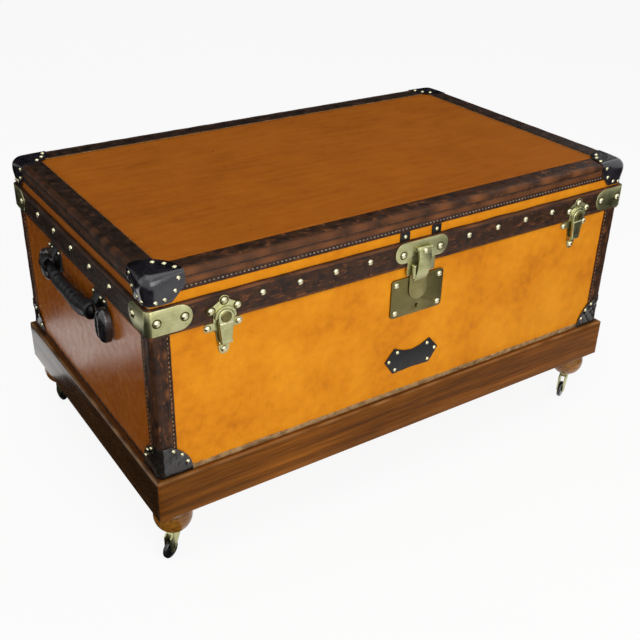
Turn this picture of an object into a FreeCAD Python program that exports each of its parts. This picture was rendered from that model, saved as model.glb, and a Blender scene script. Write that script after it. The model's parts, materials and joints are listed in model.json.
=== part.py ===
import FreeCAD, Part
import math
import os
import Sketcher

# A canvas cabin trunk on a low wooden stand with bun feet and casters.
# +X runs along the front, the front faces -Y, +Z is up, and the origin lies on the
# floor under the middle of the trunk. All lengths are in millimetres.

DRIVING_SIZES = [
    # Stand, feet and casters
    ("stand_height", 70.0, "height of the stand's rails"),
    ("stand_outset", 9.5, "stand proud of the trunk's leather trims"),
    ("rail_width", 32.0, "width of a rail seen from above"),
    ("rail_round", 5.0, "rounding of a rail's outer top edge"),
    ("rail_foot_round", 2.5, "rounding of a rail's outer lower edge"),
    ("rebate_depth", 1.5, "depth that the trunk sits into the stand"),
    ("rebate_gap", 0.6, "gap between the trunk's corner caps and the stand's lip"),
    ("seat_gap", 0.3, "gap where one moving piece rests on another"),
    ("block_side", 58.0, "side of a corner block under the trunk"),
    ("block_height", 44.0, "height of a corner block"),
    ("foot_radius", 30.0, "radius of a ball-shaped bun foot"),
    ("foot_inset", 36.5, "foot's axis in from the stand's faces"),
    ("caster_height", 50.5, "floor to the underside of a bun foot"),
    ("socket_radius", 11.0, "radius of a caster's fixed plate"),
    ("socket_thickness", 3.0, "thickness of a caster's fixed plate"),
    ("stem_radius", 4.0, "radius of a caster's swivel stem"),
    ("stem_length", 20.0, "stem's length inside the foot"),
    ("running_clearance", 0.08, "radial play of a pin or stem in its hole"),
    ("fork_width", 13.6, "width of a caster fork across its legs"),
    ("fork_slot", 9.0, "width between the legs of a caster fork"),
    ("fork_crown", 3.2, "thickness of a fork's crown"),
    ("fork_reach", 9.5, "half length of a fork's crown"),
    ("fork_trail", 12.0, "wheel's axle behind the swivel's axis"),
    ("fork_eye_radius", 5.0, "radius of a fork leg's round lower end"),
    ("wheel_radius", 15.5, "radius of a caster wheel"),
    ("wheel_width", 8.0, "width of a caster wheel"),
    ("wheel_crown", 1.6, "drop of the tread at a wheel's sides"),
    ("axle_radius", 2.0, "radius of a wheel's axle"),
    # Trunk
    ("trunk_length", 900.0, "length over the leather edge trims"),
    ("trunk_depth", 537.0, "depth over the leather edge trims"),
    ("body_height", 232.5, "trunk's bottom to the parting line"),
    ("lid_height", 88.0, "parting line to the top of the lid's trim"),
    ("board", 9.0, "thickness of the carcass boards"),
    ("canvas", 1.0, "thickness of the outer canvas"),
    ("lining", 0.8, "thickness of the cloth lining"),
    ("trim", 1.5, "thickness of the edge leather"),
    ("trim_round", 5.0, "rounding of the edge leather's upright corners and top edges"),
    ("band", 5.0, "thickness of the nailed leather band"),
    ("band_height", 44.0, "height of the nailed leather band"),
    ("cap", 3.0, "height that the corner caps stand off the canvas"),
    ("cap_round", 10.0, "rounding of the corner caps' upright and top edges"),
    ("lid_trim_height", 29.0, "height of the lid's edge leather on the sides"),
    ("lid_trim_inset", 35.0, "width of the lid's edge leather on the top"),
    ("panel_rise", 0.3, "lid's canvas panel above the leather's seat"),
    ("panel_gap", 0.2, "gap between that panel and the leather round it"),
    ("corner_trim_width", 30.0, "width of the body's corner leather on each face"),
    ("binding", 1.0, "thickness of the worn binding at the body's bottom"),
    ("binding_height", 9.2, "height of the worn binding at the body's bottom"),
    ("lip", 5.0, "thickness of the inner rim that enters the lid"),
    ("lip_depth", 42.0, "inner rim's depth below the parting line"),
    ("lip_rise", 14.0, "inner rim's height above the parting line"),
    ("lining_gap", 2.0, "gap between the lid's lining and the inner rim"),
    ("top_cap_reach", 57.0, "top corner cap's reach from its corner"),
    ("top_cap_height", 41.0, "top corner cap's height"),
    ("top_cap_chamfer", 20.0, "run of the chamfer at a top cap's lower corners"),
    ("top_cap_chamfer_height", 23.0, "height of that chamfer"),
    ("bottom_cap_reach", 54.0, "bottom corner cap's radius about its corner"),
    # Brass brackets, latches, hinges and lock
    ("bracket", 1.2, "thickness of the brass corner brackets"),
    ("bracket_height", 38.0, "height of the brass corner brackets"),
    ("bracket_reach", 67.0, "reach of the brackets along the front and back"),
    ("bracket_side_reach", 58.0, "reach of the brackets along the ends"),
    ("bracket_rise", 23.3, "brackets' middle above the parting line"),
    ("hardware_reach", 16.0, "farthest hardware in front of and behind the canvas"),
    ("latch_inset", 108.7, "latch's middle from the trunk's end"),
    ("latch_plate", 2.2, "thickness of the latches' plates"),
    ("latch_drop", 53.6, "latch base's lowest point below the parting line"),
    ("latch_tab_radius", 7.8, "radius of the rounded tabs round single rivets"),
    ("latch_lobe_radius", 6.3, "radius of the small lobes at a latch's sides"),
    ("latch_arm_start", 1.0, "base's side lobes below its top edge"),
    ("latch_waist", 13.0, "half width of a latch base between its lobes"),
    ("keeper_waist", 17.5, "half width of a keeper between its lobes"),
    ("latch_side", 24.0, "base's side lobes from the latch's middle"),
    ("keeper_side", 20.4, "keeper's side lobes from the latch's middle"),
    ("keeper_side_rise", 19.8, "keeper's side lobes above the parting line"),
    ("keeper_rise", 39.7, "keeper's highest point above the parting line"),
    ("part_gap", 0.5, "gap of the hardware to the parting line"),
    ("lever_radius", 12.5, "radius of a latch lever's round top"),
    ("lever_top_rise", 7.5, "centre of that round above the parting line"),
    ("lever_foot_width", 16.0, "width of a latch lever at its pivot"),
    ("lever_pivot_drop", 33.0, "lever's pivot below the parting line"),
    ("lever_thickness", 5.0, "thickness of a latch lever"),
    ("lever_round", 1.5, "rounding of a latch lever's front edge"),
    ("lever_gap", 0.3, "gap between a lever and the plates behind it"),
    ("tongue_gap", 0.4, "gap between the hasp's tongue and the lock's plate"),
    ("lever_eye", 3.6, "radius of a latch lever's eye"),
    ("ridge_width", 3.5, "width of the arched ridge round a lever's top"),
    ("ridge_height", 4.0, "height of the arched ridge above the keeper"),
    ("ear", 2.0, "thickness of the ears that hold a pivot pin"),
    ("ear_gap", 0.4, "gap between an ear and what turns in it"),
    ("pin_radius", 1.5, "radius of the latch and hasp pins"),
    ("hinge_inset", 120.0, "back hinge's middle from the trunk's end"),
    ("hinge_width", 60.0, "width of a back hinge"),
    ("hinge_leaf", 2.0, "thickness of a back hinge's leaves"),
    ("hinge_leaf_height", 30.0, "height of a back hinge's leaf"),
    ("hinge_leaf_start", 6.0, "leaf's edge from the hinge's axis"),
    ("knuckle_radius", 4.5, "radius of a back hinge's knuckles"),
    ("knuckle_gap", 0.5, "gap between two knuckles"),
    ("neck_low", 2.0, "near edge of a knuckle's neck from the axis"),
    ("neck_high", 7.0, "far edge of a knuckle's neck from the axis"),
    ("hinge_pin_radius", 2.5, "radius of a back hinge's pin"),
    ("lock_width", 102.0, "width of the lock's plate"),
    ("lock_height", 66.0, "height of the lock's plate"),
    ("lock_drop", 18.8, "top of the lock's plate below the parting line"),
    ("lock_plate", 3.2, "thickness of the lock's plate"),
    ("lock_corner", 6.0, "corner radius of the lock's plate"),
    ("lock_nail_inset", 8.5, "lock plate's nails in from its edges"),
    ("keyhole_drop", 52.0, "keyhole below the lock plate's top"),
    ("keyhole_radius", 2.4, "radius of the keyhole's round"),
    ("keyhole_slot", 2.2, "width of the keyhole's slot"),
    ("keyhole_length", 6.0, "length of the keyhole's slot"),
    ("case_width", 80.0, "width of the lock's case"),
    ("case_height", 50.0, "height of the lock's case"),
    ("case_depth", 8.0, "depth of the lock's case behind the canvas face"),
    ("case_wall", 1.5, "wall of the lock's case"),
    ("case_gap", 0.2, "gap between the lock's case and its pocket"),
    ("bolt_length", 24.0, "length of the lock's bolt"),
    ("bolt_height", 11.0, "height of the lock's bolt"),
    ("bolt_thickness", 3.0, "thickness of the lock's bolt"),
    ("bolt_start", 7.0, "bolt's tip from the middle when drawn back"),
    ("hasp_plate", 2.5, "thickness of the hasp's plate on the lid"),
    ("hasp_plate_width", 102.0, "width over the hasp plate's lobes"),
    ("hasp_plate_rise", 43.2, "top of the hasp plate above the parting line"),
    ("hasp_lobe_low", 9.7, "underside of the lobes above the parting line"),
    ("hasp_neck", 54.0, "width of the hasp plate's neck"),
    ("hasp_neck_gap", 6.0, "hasp plate's neck above the lock's plate"),
    ("hasp_pivot_rise", 29.7, "hasp's pivot above the parting line"),
    ("hasp_eye", 3.5, "radius of the hasp's eye"),
    ("strap_width", 24.0, "width of the hasp's arched strap"),
    ("strap", 1.8, "thickness of the hasp's strap and tongue"),
    ("strap_join_drop", 26.0, "strap meets the tongue below the parting line"),
    ("tongue_width", 37.0, "width of the hasp's tongue"),
    ("tongue_top_drop", 14.0, "tongue's top below the parting line"),
    ("tongue_bottom_drop", 59.3, "tongue's bottom below the parting line"),
    ("staple_drop", 50.0, "hasp's staple below the parting line"),
    ("staple_width", 6.0, "width and height of the hasp's staple"),
    ("staple_depth", 1.2, "staple's depth into the lock's plate"),
    ("staple_slot_rise", 20.0, "slot's length above the staple"),
    ("slot_gap", 0.8, "play round the staple in its slot"),
    ("strap_tab_width", 18.0, "width of the small leather tabs over the lock"),
    ("strap_tab_offset", 30.5, "small leather tab's middle from the middle"),
    ("strap_tab", 2.0, "thickness of the small leather tabs"),
    # Leather patch under the lock
    ("patch_width", 109.0, "width of the leather patch"),
    ("patch_height", 48.0, "height of the leather patch"),
    ("patch_drop", 167.0, "patch's middle below the parting line"),
    ("patch", 2.5, "thickness of the leather patch"),
    # Side handles
    ("loop_offset", 90.0, "a loop's middle from its handle's middle"),
    ("handle_drop", 29.3, "handle's axis below the parting line"),
    ("handle_standoff", 17.0, "handle's axis out from the canvas"),
    ("grip_radius", 9.0, "radius of a handle's grip"),
    ("grip_bow", 24.0, "bow of a grip between its loops"),
    ("grip_straight", 28.0, "length of a grip's straight stretch in a loop"),
    ("loop_width", 20.0, "width of a handle's loop along the grip"),
    ("loop_wall", 3.4, "leather thickness of a handle's loop"),
    ("loop_gap", 0.35, "gap between a grip and its loop"),
    ("chape_width", 54.0, "width of the leather chape under a loop"),
    ("chape_offset", 4.0, "chape's middle outwards of its loop"),
    ("chape_height", 42.0, "height of the leather chape"),
    ("chape", 2.5, "thickness of the leather chape"),
    ("chape_rise", 23.0, "top of the chape above the handle's axis"),
    ("chape_round", 7.0, "corner radius of the chape"),
    ("tab_width", 40.0, "width of a grip's end tab along the grip"),
    ("tab_height", 51.0, "height of a grip's end tab"),
    ("tab_rise", 4.0, "top of an end tab above the handle's axis"),
    ("tab_level", 7.0, "end tab's middle out from the canvas"),
    ("grip_knob", 4.0, "grip's straight end beyond its loop"),
    ("tab", 7.0, "thickness of a grip's end tab"),
    ("tab_gap", 1.0, "gap between an end tab and its loop"),
    ("tab_round", 2.5, "rounding of an end tab's edges"),
    # Nails and rivets
    ("band_nail", 4.9, "radius of the band's nail heads"),
    ("band_nail_rise", 26.8, "band's nails above the parting line"),
    ("band_nail_start", 96.6, "first nail of the front band from the middle"),
    ("band_nail_end", 61.1, "last nail of the front band from the latch's middle"),
    ("end_nail_spacing", 74.5, "spacing of the nails on the ends"),
    ("cap_nail", 3.3, "radius of the corner caps' nail heads"),
    ("lock_nail", 5.0, "radius of the lock's and patch's nail heads"),
    ("rivet", 5.2, "radius of the rivets on the brass fittings"),
    ("chape_nail", 3.0, "radius of the chapes' nail heads"),
    ("chape_nail_spacing", 14.0, "spacing of the chapes' nails"),
    ("chape_nail_inset", 6.3, "chapes' nails below the chape's top"),
    ("cut_over", 5.0, "overrun of cutting shapes"),
]

GRIP_DROOP_DEG = 65.0
BALL_LOW_DEG = -65.0
BALL_HIGH_DEG = 48.0
CASTER_TURN_DEG = {"fl": 27.0, "fr": 27.0, "bl": -80.0, "br": -60.0}
DOME_SHARE = 0.55
END_NAIL_COUNT = 2
BAND_NAIL_COUNT = 4
EDGE_TOLERANCE_SHARE = 1e-7
FULL_TURN_DEG = 360.0
QUARTER_DEG = 90.0
SIDES = (("left", -1), ("right", 1))
CORNERS = (("fl", -1, -1), ("fr", 1, -1), ("bl", -1, 1), ("br", 1, 1))


class Size:
    """A number together with the sheet expression that it comes from."""

    def __init__(self, text, number):
        """Keep the expression and its number."""
        self.text = text
        self.number = number

    @staticmethod
    def of(value):
        """A plain number made into a size; a size is passed through."""
        return value if isinstance(value, Size) else Size(repr(float(value)), float(value))

    def join(self, sign, other, number):
        """The size that two sizes and a sign between them give."""
        return Size("(%s %s %s)" % (self.text, sign, other.text), number)

    def __add__(self, other):
        """The sum of two sizes."""
        other = Size.of(other)
        return self.join("+", other, self.number + other.number)

    def __sub__(self, other):
        """The difference of two sizes."""
        other = Size.of(other)
        return self.join("-", other, self.number - other.number)

    def __mul__(self, other):
        """The product of two sizes."""
        other = Size.of(other)
        return self.join("*", other, self.number * other.number)

    def __truediv__(self, other):
        """The quotient of two sizes."""
        other = Size.of(other)
        return self.join("/", other, self.number / other.number)

    def __rsub__(self, other):
        """A plain number less a size."""
        return Size.of(other) - self

    def __radd__(self, other):
        """A plain number and a size."""
        return Size.of(other) + self

    def __rmul__(self, other):
        """A plain number times a size."""
        return Size.of(other) * self

    def __neg__(self):
        """The same size on the other side of zero."""
        return Size("(0 - %s)" % self.text, -self.number)


ZERO = Size("0", 0.0)

doc = FreeCAD.newDocument("CanvasTrunk")
sheet = doc.addObject("Spreadsheet::Sheet", "Sizes")


class SizeBook:
    """Hands out every driving size by its alias."""


def write_sheet():
    """Write the driving sizes to the sheet and return them by alias."""
    book = SizeBook()
    for row, (alias, number, meaning) in enumerate(DRIVING_SIZES, start=1):
        sheet.set("A%d" % row, alias)
        sheet.set("B%d" % row, str(number))
        sheet.set("C%d" % row, meaning)
        sheet.setAlias("B%d" % row, alias)
        setattr(book, alias, Size("Sizes." + alias, number))
    doc.recompute()
    return book


mm = write_sheet()
nodes = {}


def bind(item, prop, value):
    """Set a property to a size and tie it to the sheet."""
    value = Size.of(value)
    if "." not in prop and "[" not in prop:
        setattr(item, prop, value.number)
    item.setExpression(prop, value.text)


def put(item, x=ZERO, y=ZERO, z=ZERO, axis=(0, 0, 1), angle=0.0):
    """Place an object with a turn about an axis and a bound position."""
    spot = FreeCAD.Vector(Size.of(x).number, Size.of(y).number, Size.of(z).number)
    turn = FreeCAD.Rotation(FreeCAD.Vector(*axis), angle)
    item.Placement = FreeCAD.Placement(spot, turn)
    for letter, value in (("x", x), ("y", y), ("z", z)):
        bind(item, "Placement.Base." + letter, value)
    return item


def block(name, xs, ys, zs):
    """A box between two bounds on each axis."""
    item = doc.addObject("Part::Box", name)
    bind(item, "Length", xs[1] - xs[0])
    bind(item, "Width", ys[1] - ys[0])
    bind(item, "Height", zs[1] - zs[0])
    return put(item, xs[0], ys[0], zs[0])


def rod(name, radius, length, x, y, z, axis="z"):
    """A cylinder that starts at a point and runs along +X, +Y or +Z."""
    item = doc.addObject("Part::Cylinder", name)
    bind(item, "Radius", radius)
    bind(item, "Height", length)
    turns = {"x": ((0, 1, 0), QUARTER_DEG), "y": ((1, 0, 0), -QUARTER_DEG), "z": ((0, 0, 1), 0.0)}
    return put(item, x, y, z, *turns[axis])


def cut(name, base, tool):
    """One object with another taken out of it."""
    item = doc.addObject("Part::Cut", name)
    item.Base = base
    item.Tool = tool
    return item


def common(name, base, tool):
    """What two objects share."""
    item = doc.addObject("Part::Common", name)
    item.Base = base
    item.Tool = tool
    return item


def fuse(name, parts):
    """Several touching objects joined into one."""
    item = doc.addObject("Part::MultiFuse", name)
    item.Shapes = parts
    item.Refine = True
    return item


def group(name, parts):
    """Several separate solids that share one node."""
    item = doc.addObject("Part::Compound", name)
    item.Links = parts
    return item


def node(name, item):
    """Register an object as the sub-part that its label names."""
    item.Label = name
    nodes[name] = item
    return item


def new_body(name):
    """An empty body for one padded or turned outline."""
    return doc.addObject("PartDesign::Body", name)


def draw(body, role, outline, offset=ZERO):
    """Draw a closed outline on one of a body's origin planes.

    Each step of the outline is an end point, or an end point with a point that the
    arc to it passes through. Every point is bound to the sheet.
    """
    sketch = body.newObject("Sketcher::SketchObject", body.Name + "_outline")
    plane = [item for item in body.Origin.OriginFeatures if item.Role == role][0]
    sketch.AttachmentSupport = [(plane, "")]
    sketch.MapMode = "FlatFace"
    sketch.AttachmentOffset = FreeCAD.Placement(
        FreeCAD.Vector(0, 0, Size.of(offset).number), FreeCAD.Rotation())
    bind(sketch, "AttachmentOffset.Base.z", offset)
    ends = []
    rules = []
    ties = []

    def pin_point(geometry, corner, point):
        """Hold one point of the sketch at its two distances."""
        for kind, value in (("DistanceX", point[0]), ("DistanceY", point[1])):
            value = Size.of(value)
            ties.append((len(rules), value))
            rules.append(Sketcher.Constraint(kind, geometry, corner, value.number))

    previous = outline[-1][0]
    for step in outline:
        start = flat(previous)
        end = flat(step[0])
        if len(step) == 1:
            index = sketch.addGeometry(Part.LineSegment(start, end), False)
            first, last = 1, 2
        else:
            middle = flat(step[1])
            index = sketch.addGeometry(Part.Arc(start, middle, end), False)
            turn = (middle - start).cross(end - middle).z
            first, last = (1, 2) if turn > 0 else (2, 1)
            mark = sketch.addGeometry(Part.Point(middle), True)
            pin_point(mark, 1, step[1])
            rules.append(Sketcher.Constraint("PointOnObject", mark, 1, index))
        pin_point(index, last, step[0])
        ends.append((index, first, last))
        previous = step[0]
    for place, (index, first, last) in enumerate(ends):
        before = ends[place - 1]
        rules.append(Sketcher.Constraint("Coincident", before[0], before[2], index, first))
    sketch.addConstraint(rules)
    for place, value in ties:
        sketch.setExpression("Constraints[%d]" % place, value.text)
    return sketch


def flat(point):
    """A point of an outline as a vector in the sketch."""
    return FreeCAD.Vector(Size.of(point[0]).number, Size.of(point[1]).number, 0)


def pad(body, sketch, length, symmetric=False):
    """Raise an outline by a length, to one side or to both."""
    item = body.newObject("PartDesign::Pad", body.Name + "_pad")
    item.Profile = sketch
    bind(item, "Length", length)
    if symmetric:
        item.SideType = "Symmetric"
    body.Tip = item
    doc.recompute()
    return item


def turn(body, sketch, axis):
    """Turn an outline once round the sketch's own axis."""
    item = body.newObject("PartDesign::Revolution", body.Name + "_turned")
    item.Profile = sketch
    item.ReferenceAxis = (sketch, [axis])
    item.Angle = FULL_TURN_DEG
    body.Tip = item
    doc.recompute()
    return item


def soften(body, feature, radius, wanted):
    """Round those edges of a feature that a test picks."""
    names = []
    for index, edge in enumerate(feature.Shape.Edges, start=1):
        if wanted(edge):
            names.append("Edge%d" % index)
    item = body.newObject("PartDesign::Fillet", body.Name + "_round")
    item.Base = (feature, names)
    bind(item, "Radius", radius)
    body.Tip = item
    doc.recompute()
    return item


def runs_along(letter):
    """A test for straight edges along one axis."""
    def wanted(edge):
        """Tell whether the edge passes."""
        box = edge.BoundBox
        spans = {"x": box.XLength, "y": box.YLength, "z": box.ZLength}
        others = sum(span for axis, span in spans.items() if axis != letter)
        return others < EDGE_TOLERANCE_SHARE * spans[letter]
    return wanted


def at_level(letter, level):
    """A test for edges that lie wholly at one level of an axis."""
    def wanted(edge):
        """Tell whether the edge passes."""
        box = edge.BoundBox
        low = {"x": box.XMin, "y": box.YMin, "z": box.ZMin}[letter]
        high = {"x": box.XMax, "y": box.YMax, "z": box.ZMax}[letter]
        slack = EDGE_TOLERANCE_SHARE * mm.trunk_length.number
        return max(abs(low - level.number), abs(high - level.number)) < slack
    return wanted


def rectangle(us, vs):
    """The outline of a rectangle between two pairs of levels."""
    return [((us[0], vs[0]),), ((us[1], vs[0]),), ((us[1], vs[1]),), ((us[0], vs[1]),)]


def rounded_block(name, half_x, half_y, zs, radius, top=False):
    """A block whose upright edges, and its top edges if asked, are rounded."""
    body = new_body(name)
    outline = rectangle((-half_x, half_x), (-half_y, half_y))
    feature = pad(body, draw(body, "XY_Plane", outline, zs[0]), zs[1] - zs[0])
    upright = runs_along("z")
    crown = at_level("z", zs[1])
    soften(body, feature, radius, lambda edge: upright(edge) or (top and crown(edge)))
    return body


def front_plate(name, outline, level, thickness):
    """A plate parallel to the front, from a level in front of the canvas outwards."""
    body = new_body(name)
    sketch = draw(body, "XZ_Plane", outline, face_y + level)
    pad(body, sketch, thickness)
    return body


# Levels and faces that the pieces share
foot_mid = mm.caster_height - mm.foot_radius * math.sin(math.radians(BALL_LOW_DEG))
stand_bottom = foot_mid + mm.foot_radius * math.sin(math.radians(BALL_HIGH_DEG))
stand_top = stand_bottom + mm.stand_height
ledge_top = stand_top - mm.rebate_depth
trunk_bottom = ledge_top + mm.seat_gap
parting = trunk_bottom + mm.body_height
lid_bottom = parting + mm.seat_gap
lid_top = parting + mm.lid_height
face_x = mm.trunk_length / 2 - mm.trim
face_y = mm.trunk_depth / 2 - mm.trim
face_top = lid_top - mm.trim
board_x = face_x - mm.canvas
board_y = face_y - mm.canvas
seat_top = face_top - mm.panel_rise
board_top = seat_top - mm.canvas
core_round = mm.trim_round - mm.trim
board_round = core_round - mm.canvas
room_x = board_x - mm.board
room_y = board_y - mm.board
band_top = parting + mm.band_height
trim_bottom = lid_top - mm.lid_trim_height
latch_mid = mm.trunk_length / 2 - mm.latch_inset
stand_x = mm.trunk_length / 2 + mm.stand_outset
stand_y = mm.trunk_depth / 2 + mm.stand_outset


def nail(name, face, u, v, level, radius):
    """A domed head that sits flat on a face of the trunk at a level above the canvas."""
    item = doc.addObject("Part::Sphere", name)
    ball_share = (1 + DOME_SHARE ** 2) / (2 * DOME_SHARE)
    bind(item, "Radius", radius * ball_share)
    item.Angle1 = math.degrees(math.asin((ball_share - DOME_SHARE) / ball_share))
    item.Angle2 = QUARTER_DEG
    depth = level - radius * (ball_share - DOME_SHARE)
    if face == "front":
        return put(item, u, -(face_y + depth), v, (1, 0, 0), QUARTER_DEG)
    if face == "back":
        return put(item, u, face_y + depth, v, (1, 0, 0), -QUARTER_DEG)
    if face == "left":
        return put(item, -(face_x + depth), u, v, (0, 1, 0), -QUARTER_DEG)
    if face == "right":
        return put(item, face_x + depth, u, v, (0, 1, 0), QUARTER_DEG)
    return put(item, u, v, face_top + depth)


def stand_rail(name, half_length, outer, rebate, angle):
    """One mitred rail with rounded outer edges and a shallow rebate for the trunk."""
    inner = outer - mm.rail_width
    body = new_body(name + "_blank")
    outline = [
        ((-half_length, -outer),),
        ((half_length, -outer),),
        ((half_length - mm.rail_width, -inner),),
        ((mm.rail_width - half_length, -inner),),
    ]
    feature = pad(body, draw(body, "XY_Plane", outline, stand_bottom), mm.stand_height)
    feature = soften(body, feature, mm.rail_foot_round, outer_edge(outer, stand_bottom))
    soften(body, feature, mm.rail_round, outer_edge(outer, stand_top))
    put(body, axis=(0, 0, 1), angle=angle)
    return node(name, cut(name + "_rebated", body, rebate))


def outer_edge(outer, level):
    """A test for the outer edge of a rail at one height."""
    height = at_level("z", level)
    depth = at_level("y", -outer)
    return lambda edge: height(edge) and depth(edge)


def build_stand():
    """Four mitred rails and the blocks in their corners."""
    half_x = face_x + mm.cap + mm.rebate_gap
    half_y = face_y + mm.cap + mm.rebate_gap
    rebate = block("stand_rebate", (-half_x, half_x), (-half_y, half_y), (ledge_top, stand_top + mm.cut_over))
    stand_rail("stand_rail_front", stand_x, stand_y, rebate, 0.0)
    stand_rail("stand_rail_right", stand_y, stand_x, rebate, QUARTER_DEG)
    stand_rail("stand_rail_back", stand_x, stand_y, rebate, 2 * QUARTER_DEG)
    stand_rail("stand_rail_left", stand_y, stand_x, rebate, -QUARTER_DEG)
    corner_x = stand_x - mm.rail_width
    corner_y = stand_y - mm.rail_width
    blocks = []
    for tag, sx, sy in CORNERS:
        xs = sorted((sx * corner_x, sx * (corner_x - mm.block_side)), key=lambda v: v.number)
        ys = sorted((sy * corner_y, sy * (corner_y - mm.block_side)), key=lambda v: v.number)
        zs = (stand_bottom, stand_bottom + mm.block_height)
        blocks.append(block("corner_block_" + tag, xs, ys, zs))
    node("stand_corner_blocks", group("stand_corner_blocks_set", blocks))


def build_foot(tag, x, y):
    """A ball foot, cut flat above and below, with a hole for the caster's stem."""
    ball = doc.addObject("Part::Sphere", "bun_foot_ball_" + tag)
    bind(ball, "Radius", mm.foot_radius)
    ball.Angle1 = BALL_LOW_DEG
    ball.Angle2 = BALL_HIGH_DEG
    put(ball, x, y, foot_mid)
    hole = rod("bun_foot_hole_" + tag, mm.stem_radius + mm.running_clearance,
               mm.stem_length + mm.cut_over + mm.seat_gap, x, y, mm.caster_height - mm.cut_over)
    return node("bun_foot_" + tag, cut("bun_foot_bored_" + tag, ball, hole))


def build_caster(tag, x, y, turn_deg):
    """A caster's fork with its stem, its axle and its wheel, turned about its swivel."""
    top = mm.caster_height - mm.socket_thickness - mm.seat_gap
    crown = top - mm.fork_crown
    axle_x = -mm.fork_trail
    axle_z = mm.wheel_radius
    eye = mm.fork_eye_radius
    fork = new_body("fork_leg_" + tag)
    outline = [
        ((mm.fork_reach, top),),
        ((-mm.fork_reach, top),),
        ((axle_x - eye, crown - eye),),
        ((axle_x - eye, axle_z),),
        ((axle_x + eye, axle_z), (axle_x, axle_z - eye)),
        ((mm.fork_reach, crown),),
    ]
    pad(fork, draw(fork, "XZ_Plane", outline), mm.fork_width, symmetric=True)
    stem = rod("fork_stem_" + tag, mm.stem_radius, mm.stem_length + mm.socket_thickness + mm.seat_gap,
               ZERO, ZERO, top)
    whole = fuse("fork_whole_" + tag, [fork, stem])
    over = mm.fork_trail + mm.wheel_radius + mm.cut_over
    slot = block("fork_slot_" + tag, (-over, over), (-mm.fork_slot / 2, mm.fork_slot / 2),
                 (-mm.cut_over, crown))
    slotted = cut("fork_slotted_" + tag, whole, slot)
    half_fork = mm.fork_width / 2
    bore_radius = mm.axle_radius + mm.running_clearance
    bore = rod("fork_bore_" + tag, bore_radius, mm.fork_width + 2 * mm.cut_over,
               axle_x, -(half_fork + mm.cut_over), axle_z, "y")
    axle = rod("axle_rod_" + tag, mm.axle_radius, mm.fork_width, axle_x, -half_fork, axle_z, "y")
    wheel = new_body("wheel_turned_" + tag)
    half = mm.wheel_width / 2
    shoulder = mm.wheel_radius - mm.wheel_crown
    tread = [
        ((bore_radius, -half),),
        ((shoulder, -half),),
        ((shoulder, half), (mm.wheel_radius, ZERO)),
        ((bore_radius, half),),
    ]
    turn(wheel, draw(wheel, "XY_Plane", tread), "V_Axis")
    put(wheel, axle_x, ZERO, axle_z)
    for kind, item in (("fork", cut("fork_bored_" + tag, slotted, bore)),
                       ("axle", group("axle_set_" + tag, [axle])),
                       ("wheel", group("wheel_set_" + tag, [wheel]))):
        put(item, x, y, ZERO, (0, 0, 1), turn_deg)
        node("caster_%s_%s" % (kind, tag), item)


def build_feet():
    """Four ball feet, each with its caster."""
    sockets = []
    for tag, sx, sy in CORNERS:
        x = sx * (stand_x - mm.foot_inset)
        y = sy * (stand_y - mm.foot_inset)
        build_foot(tag, x, y)
        low = mm.caster_height - mm.socket_thickness
        plate = rod("socket_plate_" + tag, mm.socket_radius, mm.socket_thickness, x, y, low)
        hole = rod("socket_hole_" + tag, mm.stem_radius + mm.running_clearance,
                   mm.socket_thickness + 2 * mm.cut_over, x, y, low - mm.cut_over)
        sockets.append(cut("socket_" + tag, plate, hole))
        build_caster(tag, x, y, CASTER_TURN_DEG[tag])
    node("caster_sockets", group("caster_sockets_set", sockets))


def shell(name, half_x, half_y, zs, wall, floor=None, roof=None):
    """An outer block less an inner one, open above and below unless told otherwise."""
    outer = block(name + "_outer", (-half_x, half_x), (-half_y, half_y), zs)
    low = zs[0] + floor if floor else zs[0] - mm.cut_over
    high = zs[1] - roof if roof else zs[1] + mm.cut_over
    inner_x = half_x - wall
    inner_y = half_y - wall
    inner = block(name + "_inner", (-inner_x, inner_x), (-inner_y, inner_y), (low, high))
    return cut(name, outer, inner)


def four_boards(name, half_x, half_y, zs, thickness, pocket=None, corners=None):
    """Front and back boards between two end boards, rounded at the corners if asked."""
    inner_x = half_x - thickness
    front = block(name + "_front", (-inner_x, inner_x), (-half_y, thickness - half_y), zs)
    if pocket:
        front = cut(name + "_front_pocketed", front, pocket)
    ends = [
        block(name + "_left", (-half_x, -inner_x), (-half_y, half_y), zs),
        block(name + "_right", (inner_x, half_x), (-half_y, half_y), zs),
    ]
    if corners:
        form = rounded_block(name + "_form", half_x, half_y, zs, corners)
        ends = [common("%s_rounded_%d" % (name, place), end, form) for place, end in enumerate(ends)]
    back = block(name + "_back", (-inner_x, inner_x), (half_y - thickness, half_y), zs)
    return [front, back] + ends


def core(name, zs, top=False):
    """The canvas-covered volume that leather and brass are fitted round."""
    return rounded_block(name, face_x, face_y, zs, core_round, top)


def canvas_skin(name, zs, closed=False):
    """The canvas round the carcass, closed above if asked."""
    outer = core(name + "_outer", zs, closed)
    high = zs[1] - mm.canvas if closed else zs[1] + mm.cut_over
    inner = rounded_block(name + "_inner", board_x, board_y, (zs[0] - mm.cut_over, high),
                          board_round, closed)
    return cut(name, outer, inner)


lock_top = parting - mm.lock_drop
lock_low = lock_top - mm.lock_height
case_mid = (lock_top + lock_low) / 2


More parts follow.
